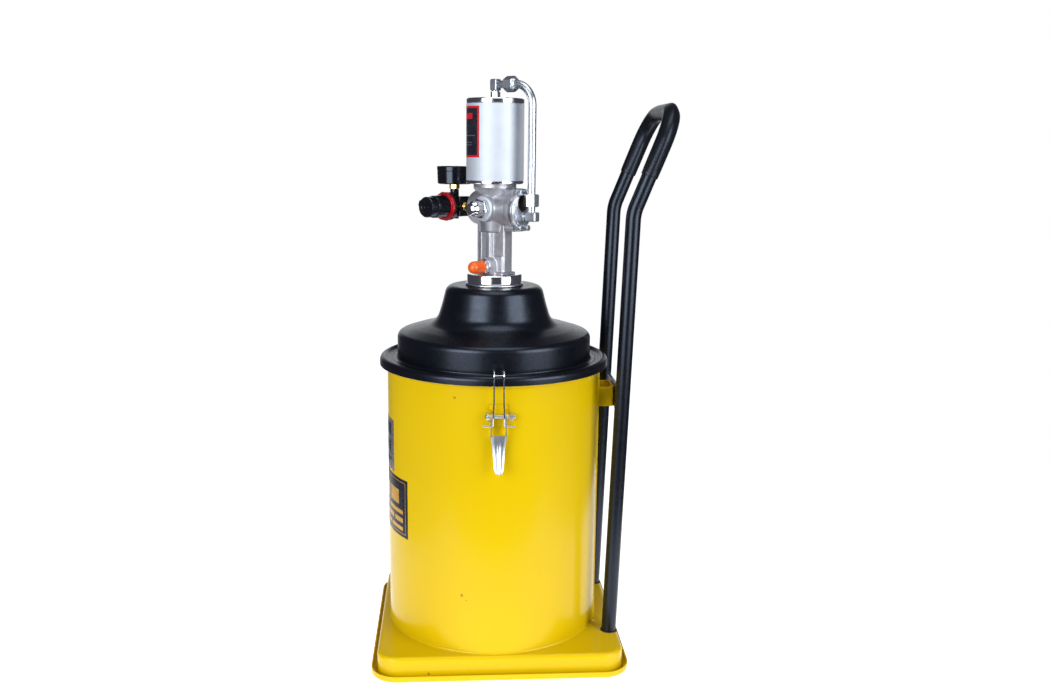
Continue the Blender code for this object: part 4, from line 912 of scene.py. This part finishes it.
# ---- air motor ----
def build_motor():
    low, high = 0.6676, 0.7767
    cylinder = lathe("motor_tube", [
        (0.038, high, 0.0003), (0.042, high, 0.0004), (0.042, low, 0.0004), (0.038, low, 0.0003),
    ], PUMP, "satin_aluminium", steps=160, closed=True)
    keep(cylinder, "root", "motor_cylinder")
    base = lathe("motor_base_turned", [
        (0.0053, 0.6703, 0), (0.0377, 0.6703, 0.0004), (0.0377, 0.6673, 0), (0.0424, 0.6673, 0.0007),
        (0.0424, 0.6645, 0.0007), (0.0412, 0.663, 0.0005), (0.0053, 0.663, 0),
    ], PUMP, "chrome", steps=160, closed=True)
    keep(base, "root", "motor_base")
    cap = lathe("motor_cap_turned", [
        (0.0048, 0.784, 0), (0.015, 0.784, 0.0003), (0.0154, 0.7836, 0.0003), (0.04, 0.7836, 0.0004),
        (0.0404, 0.784, 0.0003), (0.0412, 0.784, 0.001), (0.0424, 0.7826, 0.001), (0.0424, 0.7772, 0.0006),
        (0.0377, 0.777, 0), (0.0377, 0.774, 0.0004), (0.0048, 0.774, 0),
    ], PUMP, "chrome", steps=160, closed=True)
    keep(cap, "root", "motor_cap")


def squared_block(name, half, roundness, place, slot):
    """A forged block: a cube bulged a little and melted at its edges."""
    shape = bmesh.new()
    bmesh.ops.create_cube(shape, size=2)
    bmesh.ops.subdivide_edges(shape, edges=shape.edges[:], cuts=15, use_grid_fill=True)
    for vertex in shape.verts:
        length = sum(abs(c) ** roundness for c in vertex.co) ** (1 / roundness)
        vertex.co = Vector([c / length * h for c, h in zip(vertex.co, half)])
    return made(name, shape, place, slot, 60)


def build_transfer():
    """The air line: elbow and nut on top of the motor, the bent tube, and nut and elbow at the valve cover."""
    top = PUMP @ at(0, 0, TRANSFER_Z)
    elbow = squared_block("upper_elbow_forged", (0.006, 0.006, 0.0082), 9, top @ at(0, 0, -0.0003),
                          "zinc_steel")
    stem = lathe("stem", [
        (0.0052, TRANSFER_Z, 0), (0.0052, 0.7942, 0.001), (0.0042, 0.794, 0),
        (0.0042, 0.7846, 0), (0.0045, 0.7745, 0),
    ], PUMP, steps=48)
    hexagon = nut("hexagon", 0.0124, 0.7843, 0.7938, PUMP)
    neck = lathe("neck", [
        (0.0056, 0.0207, 0.0005), (0.0056, 0.0125, 0.0008), (0.005, 0.0118, 0.0004),
        (0.005, 0, 0),
    ], top @ RIGHT, steps=48)
    keep(join(elbow, stem, hexagon, neck), "root", "upper_elbow")

    upper = nut("upper_nut_hex", 0.0198, 0.021, 0.0362, top @ RIGHT, "zinc_steel", turn=math.pi / 6)
    collar = lathe("collar", [
        (0.0074, 0.0394, 0.0006), (0.0088, 0.036, 0.001), (0.0088, 0.034, 0),
    ], top @ RIGHT, steps=60)
    join(upper, collar)
    keep(bored(upper, TRANSFER_RADIUS + GAP, 0.01, 0.05, top @ RIGHT), "root", "upper_nut")

    low = VALVE_Z + ELBOW_DROP
    route = fillet([(TRANSFER_OUT, 0, low + 0.0173, 0), (TRANSFER_OUT, 0, TRANSFER_Z, TRANSFER_BEND),
                    (0.025, 0, TRANSFER_Z, 0)], steps=24)
    tube = bar("air_line_tube", route, TRANSFER_RADIUS - 0.00005, PUMP, "zinc_steel", sides=40)
    keep(tube, "root", "air_tube")

    column = PUMP @ at(TRANSFER_OUT, 0, low)
    lower = nut("lower_nut_hex", 0.0193, 0.0143, 0.0321, column, "zinc_steel")
    keep(bored(lower, TRANSFER_RADIUS + GAP, 0.01, 0.04, column), "root", "lower_nut")

    level = PUMP @ at(0, 0, low)
    elbow = squared_block("lower_elbow_forged", (0.0089, 0.0057, 0.0068), 11,
                          level @ at(TRANSFER_OUT + 0.0022, 0, 0), "zinc_steel")
    shank = lathe("shank", [
        (0.0053, TRANSFER_OUT, 0), (0.0053, 0.059, 0.0004), (0.005, 0.058, 0),
        (0.005, 0.048, 0.0004),
    ], level @ RIGHT, steps=48)
    hexagon = nut("hexagon", 0.0128, 0.0544, 0.0584, level @ RIGHT)
    thread = lathe("neck", [(0.0058, 0.014, 0.0005), (0.0058, 0.009, 0), (0.0053, 0.0085, 0),
                            (0.0053, 0, 0)], column, steps=48)
    keep(join(elbow, shank, hexagon, thread), "root", "lower_elbow")


# ---- outlet ----
def build_outlet():
    level = PUMP @ at(0, 0, OUTLET_Z) @ FRONT
    nipple = nut("outlet_nipple_hex", 0.0188, 0.0221, 0.0293, level, "chrome", turn=0.5)
    collar = lathe("collar", rod(0.0105, 0.0203, 0.0224, 0.0004), level, steps=60)
    thread = helix_ridges("thread", 0.0058, 0.0285, 0.0403, 0.001, level, None)
    join(nipple, collar, thread)
    keep(bored(nipple, 0.003, 0.01, 0.05, level, steps=32), "root", "outlet_nipple")
    cap = lathe("outlet_cap_moulded", [
        (0.0091, 0.0549, 0.0087), (0.0091, 0.0325, 0.0004), (0.0096, 0.0318, 0.0005),
        (0.0096, 0.0297, 0.0005), (0.0061, 0.0297, 0.0003), (0.0061, 0.042, 0.0005),
    ], level, "orange_plastic", steps=96, arc=14)
    keep(cap, "hose_cap", "outlet_cap")


# ---- regulator and gauge ----
def build_regulator():
    level = PUMP @ at(0, 0, REGULATOR_Z)
    centre = level @ at(-REGULATOR_OUT, 0, 0)
    body = block("regulator_moulding", (-0.102, -0.01, -0.015), (-0.06, 0.012, 0.015), level,
                 "black_plastic", bevel=0.0016)
    ports = lathe("ports", [
        (0.012, 0.104, 0.0008), (0.012, 0.098, 0.0005), (0.0112, 0.0975, 0),
        (0.0112, 0.0645, 0), (0.012, 0.064, 0.0005), (0.012, 0.058, 0.0008),
    ], level @ LEFT, steps=72)
    boss = lathe("gauge_boss", rod(0.0066, -0.019, GAUGE_STEM - REGULATOR_Z, 0.0006), centre, steps=60)
    bonnet = lathe("bonnet", [
        (0.015, 0.0281, 0.0003), (0.015, 0.0196, 0), (0.0212, 0.0196, 0.0008),
        (0.0212, 0.014, 0.0005), (0.0196, 0.0115, 0.0008), (0.0196, 0.005, 0),
    ], centre @ FRONT, steps=96)
    plug = lathe("plug", rod(0.0095, -0.0002, 0.0012, 0.0004),
                 centre @ at(0, 0.012, 0) @ FRONT @ at(0, 0, -0.0012), steps=60)
    join(body, ports, boss, bonnet, plug)
    face = lathe("gauge_seat", rod(0.0043, 0.0205, 0.04), centre, steps=32)
    keep(cut(body, face,
             lathe("adapter_hole", rod(0.0068, 0.05, 0.0625), level @ LEFT, steps=48),
             lathe("inlet_hole", rod(0.0061, 0.099, 0.11), level @ LEFT, steps=48)), "root", "regulator_body")

    front = centre @ FRONT
    locking = nut("regulator_ring_octagon", 0.0417, 0.0201, 0.0238, front, "red_ring", sides=10, turn=0.2)
    collar = lathe("collar", [(0.0186, 0.0262, 0.0006), (0.0192, 0.0232, 0)],
                   front, steps=96)
    join(locking, collar)
    keep(bored(locking, 0.0153, 0.01, 0.035, front, steps=72), "root", "regulator_ring")

    knob = lathe("regulator_knob_moulded", [
        (0.003, 0.0617, 0), (0.0034, 0.0625, 0), (0.0044, 0.0625, 0), (0.0048, 0.0617, 0),
        (0.009, 0.0617, 0), (0.0095, 0.0629, 0.0002), (0.0142, 0.0629, 0.0006), (0.0152, 0.0614, 0.0008),
        (0.0152, 0.0495, 0.0005), (0.0157, 0.0482, 0.0004), (0.0165, 0.0475, 0.0006), (0.0172, 0.0295, 0.0006),
        (0.0168, 0.0287, 0),
    ], front, "black_plastic", steps=144, ripple=(36, 0.00035, 0.0305, 0.0465))
    lug = block("lug", (-0.0044, 0.012, 0.05), (0.0044, 0.0186, 0.06),
                front @ Matrix.Rotation(1.26, 4, "Z"), bevel=0.0012)
    keep(join(knob, lug), "adjusting_knob", "regulator_knob")

    adapter = nut("port_adapter_hex", 0.0166, 0.0406, 0.0515, level @ LEFT, "brass", turn=math.pi / 6)
    shanks = helix_ridges("shank", 0.0064, 0.0362, 0.0618, 0.0009, level @ LEFT, None)
    join(adapter, shanks)
    keep(bored(adapter, 0.0035, 0.03, 0.07, level @ LEFT, steps=32), "root", "port_adapter")

    nipple = nut("inlet_nipple_hex", 0.0138, 0.1044, 0.11, level @ LEFT, "zinc_steel")
    nose = lathe("nose", [
        (0.0046, 0.129, 0.0006), (0.0052, 0.1278, 0.0004), (0.0052, 0.1222, 0.0006),
        (0.004, 0.1208, 0.0005), (0.004, 0.1167, 0.0005), (0.0058, 0.1145, 0.0005), (0.0058, 0.1095, 0),
    ], level @ LEFT, steps=60)
    join(nipple, nose)
    keep(bored(nipple, 0.003, 0.1, 0.14, level @ LEFT, steps=32), "root", "inlet_nipple")


def build_gauge():
    place = PUMP @ at(-REGULATOR_OUT, 0, 0)
    stem = nut("gauge_stem_hex", 0.0136, GAUGE_STEM + 0.0004, 0.6597, place, "brass")
    ends = lathe("ends", rod(0.0039, 0.6492, 0.6628, 0.0003), place, steps=40)
    keep(join(stem, ends), "root", "gauge_stem")

    case = lathe("gauge_case_moulded", [
        (0.024, GAUGE_TOP - 0.0002, 0.0003), (0.0259, GAUGE_TOP, 0.0006), (0.0265, GAUGE_TOP - 0.001, 0.0006),
        (0.0263, 0.68, 0.0003), (0.0257, 0.6796, 0), (0.0257, 0.679, 0), (0.0261, 0.6786, 0.0003),
        (0.0255, GAUGE_BOTTOM + 0.0012, 0.001), (0.024, GAUGE_BOTTOM + 0.0001, 0.0008),
        (0.0044, GAUGE_BOTTOM + 0.0001, 0), (0.0044, 0.677, 0), (0.024, 0.677, 0),
    ], place, "black_plastic", steps=128, closed=True)
    keep(case, "root", "gauge_case")

    card = lathe("gauge_dial_card", rod(0.0237, 0.677, 0.6774, 0.0001), place, "dial_white", steps=96)
    keep(card, "root", slot="chrome")
    shape = bmesh.new()
    for i in range(51):
        major = i % 5 == 0
        turn = math.radians(45 + 270 * i / 50)
        inner = 0.0182 if major else 0.0196
        half = 0.00028 if major else 0.00014
        middle = Matrix.Rotation(-turn, 4, "Z") @ at(0, -(inner + 0.0212) / 2, 0)
        bmesh.ops.create_cube(shape, size=1, matrix=middle
                              @ Matrix.Diagonal((2 * half, 0.0212 - inner, 0.0002, 1)))
    marks = place @ at(0, 0, 0.6775)
    ticks = made("gauge_dial_ticks", shape, marks, "black_plastic", 60)
    keep(ticks, "root", slot="black_plastic")
    for i in range(6):
        text = bpy.data.curves.new(f"gauge_number_{2 * i}", "FONT")
        text.body = str(2 * i)
        text.size, text.extrude = 0.0046, 0.0001
        text.align_x, text.align_y = "CENTER", "CENTER"
        text.materials.append(look("black_plastic"))
        number = bpy.data.objects.new(text.name, text)
        bpy.context.scene.collection.objects.link(number)
        turn = math.radians(45 + 270 * i / 5)
        number.matrix_world = marks @ at(-0.015 * math.sin(turn), -0.015 * math.cos(turn))
        keep(number, "root", slot="black_plastic")
    needle = lathe("gauge_needle_hub", [
        (0.0014, DIAL_Z + 0.0018, 0.0004), (0.0022, DIAL_Z + 0.001, 0.0002),
        (0.0022, DIAL_Z, 0),
    ], place, "black_plastic", steps=40)
    pointer = slab("pointer", [(-0.006, -0.0009, 0.0004), (0.0165, -0.00025, 0), (0.0165, 0.00025, 0),
                               (-0.006, 0.0009, 0.0004)], DIAL_Z + 0.0004, DIAL_Z + 0.0008,
                   place @ Matrix.Rotation(math.radians(225), 4, "Z"))
    keep(join(needle, pointer), "gauge_pointer", "gauge_needle")
    lens = lathe("gauge_window", rod(0.0237, 0.6823, 0.6843, 0.0004), place, "clear", steps=96)
    keep(lens, "root", "gauge_lens")


# ---- labels ----
LABEL_SLOTS = {"label_black": "black_plastic", "label_gold": "brass", "label_silver": "satin_aluminium",
               "label_red": "red_ring"}


def wrapped(name, radius, patches, finish, thickness=0.0002):
    """Thin panels bent round a cylinder: patches are (left, right, low, high), along the arc and upwards."""
    shape = bmesh.new()
    for left, right, low, high in patches:
        steps = max(1, math.ceil((right - left) / radius / math.radians(3)))
        section = ((-thickness, low), (thickness, low), (thickness, high), (-thickness, high))
        loops = []
        for i in range(steps + 1):
            turn = (left + (right - left) * i / steps) / radius
            out = Vector((math.sin(turn), -math.cos(turn), 0))
            loops.append([shape.verts.new(out * (radius + deep) + Vector((0, 0, z))) for deep, z in section])
        skin(shape, loops)
    turned = AXIS @ Matrix.Rotation(LABEL_TURN, 4, "Z")
    keep(made(name, shape, turned, finish), "root", slot=LABEL_SLOTS[finish])


def border(left, right, low, high, wide):
    """Four strips that frame a panel."""
    return [(left, right, low, low + wide), (left, right, high - wide, high),
            (left, left + wide, low + wide, high - wide), (right - wide, right, low + wide, high - wide)]


def build_labels():
    """The panels on the drum and on the motor, with plain bars in place of all their lettering."""
    low, high, half = 0.1508, 0.2393, 0.103
    wrapped("drum_label_black", DRUM_RADIUS, [(-half, half, low, high)], "label_black")
    ink = border(-half + 0.0055, half - 0.0055, low + 0.0045, high - 0.0045, 0.0009)
    for start, length in ((-0.08, 0.034), (-0.038, 0.028), (-0.002, 0.038), (0.044, 0.034)):
        ink.append((start, start + length, low + 0.048, low + 0.07))
    rows = (
        (0.0345, 0.006, ((-0.052, -0.012), (-0.006, 0.03), (0.036, 0.09))),
        (0.0215, 0.007, ((-0.086, -0.03), (-0.022, 0.018), (0.026, 0.058), (0.064, 0.09))),
        (0.0095, 0.0055, ((0.03, 0.046), (0.05, 0.09))),
    )
    for row, height, spans in rows:
        ink += [(start, end, low + row, low + row + height) for start, end in spans]
    wrapped("drum_label_ink", DRUM_RADIUS + 0.0002, ink, "label_gold", 0.0001)

    low, high, half = 0.2435, 0.321, 0.061
    wrapped("drum_label_silver", DRUM_RADIUS, [(-half, half, low, high)], "label_silver")
    lines = border(-half + 0.003, half - 0.003, low + 0.003, high - 0.003, 0.0006)
    wrapped("drum_label_silver_border", DRUM_RADIUS + 0.0002, lines, "label_gold", 0.0001)
    ink = [(-0.05, -0.016, low + 0.05, low + 0.07), (-0.01, 0.046, low + 0.052, low + 0.07)]
    ink += [(start, start + 0.0085, low + 0.026, low + 0.044)
            for start in (-0.048, -0.034, -0.02, -0.006, 0.008, 0.022, 0.036)]
    ink += [(-0.048, -0.006, low + 0.01, low + 0.0185), (0.004, 0.036, low + 0.01, low + 0.0185),
            (0.04, 0.047, low + 0.014, low + 0.0185)]
    wrapped("drum_label_silver_ink", DRUM_RADIUS + 0.0002, ink, "label_black", 0.0001)

    low, high, half = 0.7005, 0.7725, 0.04
    wrapped("motor_label_black", MOTOR_RADIUS, [(-half, half, low, high)], "label_black")
    lines = border(-half, half, low, high, 0.003)
    wrapped("motor_label_border", MOTOR_RADIUS + 0.0002, lines, "label_red", 0.0001)
    ink = [(-0.03, -0.006, high - 0.018, high - 0.01), (0.0, 0.027, high - 0.018, high - 0.01)]
    wrapped("motor_label_title", MOTOR_RADIUS + 0.0002, ink, "label_red", 0.0001)
    ink = [(-0.03, 0.032, low + 0.03, low + 0.0312), (-0.03, 0.026, low + 0.0205, low + 0.0215),
           (-0.03, 0.026, low + 0.017, low + 0.018)]
    wrapped("motor_label_lines", MOTOR_RADIUS + 0.0002, ink, "label_silver", 0.0001)


# ---- the CAD nodes that stay ----
def finish_cad_nodes():
    """Gives every node that no piece replaces the finish of its slot."""
    for name, obj in frame["nodes"].items():
        if obj.hide_render:
            continue
        finish = look(SLOT_OF[name])
        if not obj.data.materials:
            obj.data.materials.append(finish)
        for slot in obj.material_slots:
            slot.material = finish


# ---- studio ----
def build_world(back):
    """White to the camera; in reflections white behind the object and dim all round in front of it."""
    world = bpy.data.worlds.new("studio")
    bpy.context.scene.world = world
    world.use_nodes = True
    nodes, links = world.node_tree.nodes, world.node_tree.links
    nodes.clear()
    way = nodes.new("ShaderNodeTexCoord").outputs["Generated"]
    behind = nodes.new("ShaderNodeVectorMath")
    behind.operation = "DOT_PRODUCT"
    behind.inputs[1].default_value = back
    links.new(way, behind.inputs[0])
    ramp = nodes.new("ShaderNodeValToRGB")
    ramp.color_ramp.interpolation = "EASE"
    dim, bright = ramp.color_ramp.elements
    dim.position, dim.color = DIM_UP_TO, (DIM_LEVEL, DIM_LEVEL, DIM_LEVEL * 1.3, 1)
    bright.position, bright.color = BRIGHT_FROM, (*COOL_WHITE, 1)
    shifted = nodes.new("ShaderNodeMapRange")
    shifted.inputs["From Min"].default_value = -1
    links.new(behind.outputs["Value"], shifted.inputs["Value"])
    links.new(shifted.outputs["Result"], ramp.inputs["Fac"])
    room = nodes.new("ShaderNodeBackground")
    room.inputs["Strength"].default_value = BACK_LEVEL
    links.new(ramp.outputs["Color"], room.inputs["Color"])
    seen = nodes.new("ShaderNodeBackground")
    seen.inputs["Color"].default_value = (1, 1, 1, 1)
    mix = nodes.new("ShaderNodeMixShader")
    links.new(nodes.new("ShaderNodeLightPath").outputs["Is Camera Ray"], mix.inputs["Fac"])
    links.new(room.outputs[0], mix.inputs[1])
    links.new(seen.outputs[0], mix.inputs[2])
    links.new(mix.outputs[0], nodes.new("ShaderNodeOutputWorld").inputs["Surface"])


def softbox(name, azimuth, elevation, distance, wide, tall, power, target):
    """A rectangular light that faces target, azimuth degrees round to the right of the camera's direction."""
    turn = math.radians(azimuth) - CAMERA_TURN
    rise = math.radians(elevation)
    away = Vector((math.sin(turn) * math.cos(rise), -math.cos(turn) * math.cos(rise), math.sin(rise)))
    light = bpy.data.lights.new(name, "AREA")
    light.shape = "RECTANGLE"
    light.size, light.size_y, light.energy = wide, tall, power
    light.color = COOL_WHITE
    lamp = bpy.data.objects.new(name, light)
    bpy.context.scene.collection.objects.link(lamp)
    lamp.location = target + away * distance
    lamp.rotation_euler = (-away).to_track_quat("-Z", "Y").to_euler()


def build_studio():
    foot = Vector((AXIS.translation.x, 0, 0))
    for name, azimuth, power in (("box_left", -34, 52), ("box_right", 50, 46)):
        softbox(name, azimuth, 0, BOX_DISTANCE, BOX_WIDTH, BOX_HEIGHT, power,
                foot + Vector((0, 0, BOX_CENTRE_Z)))
    softbox("box_top", 10, 78, 2.4, 1.6, 1.6, 20, foot + Vector((0, 0, 0.42)))
    build_world(Vector((math.sin(CAMERA_TURN), math.cos(CAMERA_TURN), 0)))
    near, far = ("floor", 0.62, -0.58, 0.75, 0.0002), ("floor_far", 1.3, -0.579, 3.0, 0.0008)
    for name, half, front, back, depth in (near, far):      # only the near one shows in reflections
        shape = bmesh.new()
        corners = ((-half, front, 0), (half, front, 0), (half, back, 0), (-half, back, 0))
        shape.faces.new([shape.verts.new(corner) for corner in corners])
        floor = made(name, shape, at(0, 0, -depth), "studio_white")
        floor.visible_glossy = name == "floor"
    bpy.context.scene.view_settings.view_transform = "Standard"


def build_camera():
    camera = bpy.data.cameras.new("camera")
    camera.lens, camera.sensor_width = CAMERA_LENS, CAMERA_SENSOR
    camera.clip_start, camera.clip_end = 0.05, 100
    obj = bpy.data.objects.new("camera", camera)
    bpy.context.scene.collection.objects.link(obj)
    stand = at(-CAMERA_DISTANCE * math.sin(CAMERA_TURN), -CAMERA_DISTANCE * math.cos(CAMERA_TURN),
               CAMERA_HEIGHT)
    pan = Matrix.Rotation(-CAMERA_TURN - CAMERA_AIM, 4, "Z")
    tilt = Matrix.Rotation(math.pi / 2 - CAMERA_DOWN, 4, "X")
    obj.matrix_world = AXIS @ stand @ pan @ tilt @ Matrix.Rotation(CAMERA_ROLL, 4, "Z")
    bpy.context.scene.camera = obj


# ---- the whole scene ----
build_camera()
build_base()
build_drum()
build_lid()
build_handle()
build_bracket()
build_latch("front", 0)
build_latch("rear", math.pi)
build_flange()
build_pump_body()
build_valve()
build_detent()
build_motor()
build_transfer()
build_outlet()
build_regulator()
build_gauge()
build_labels()
finish_cad_nodes()
build_studio()
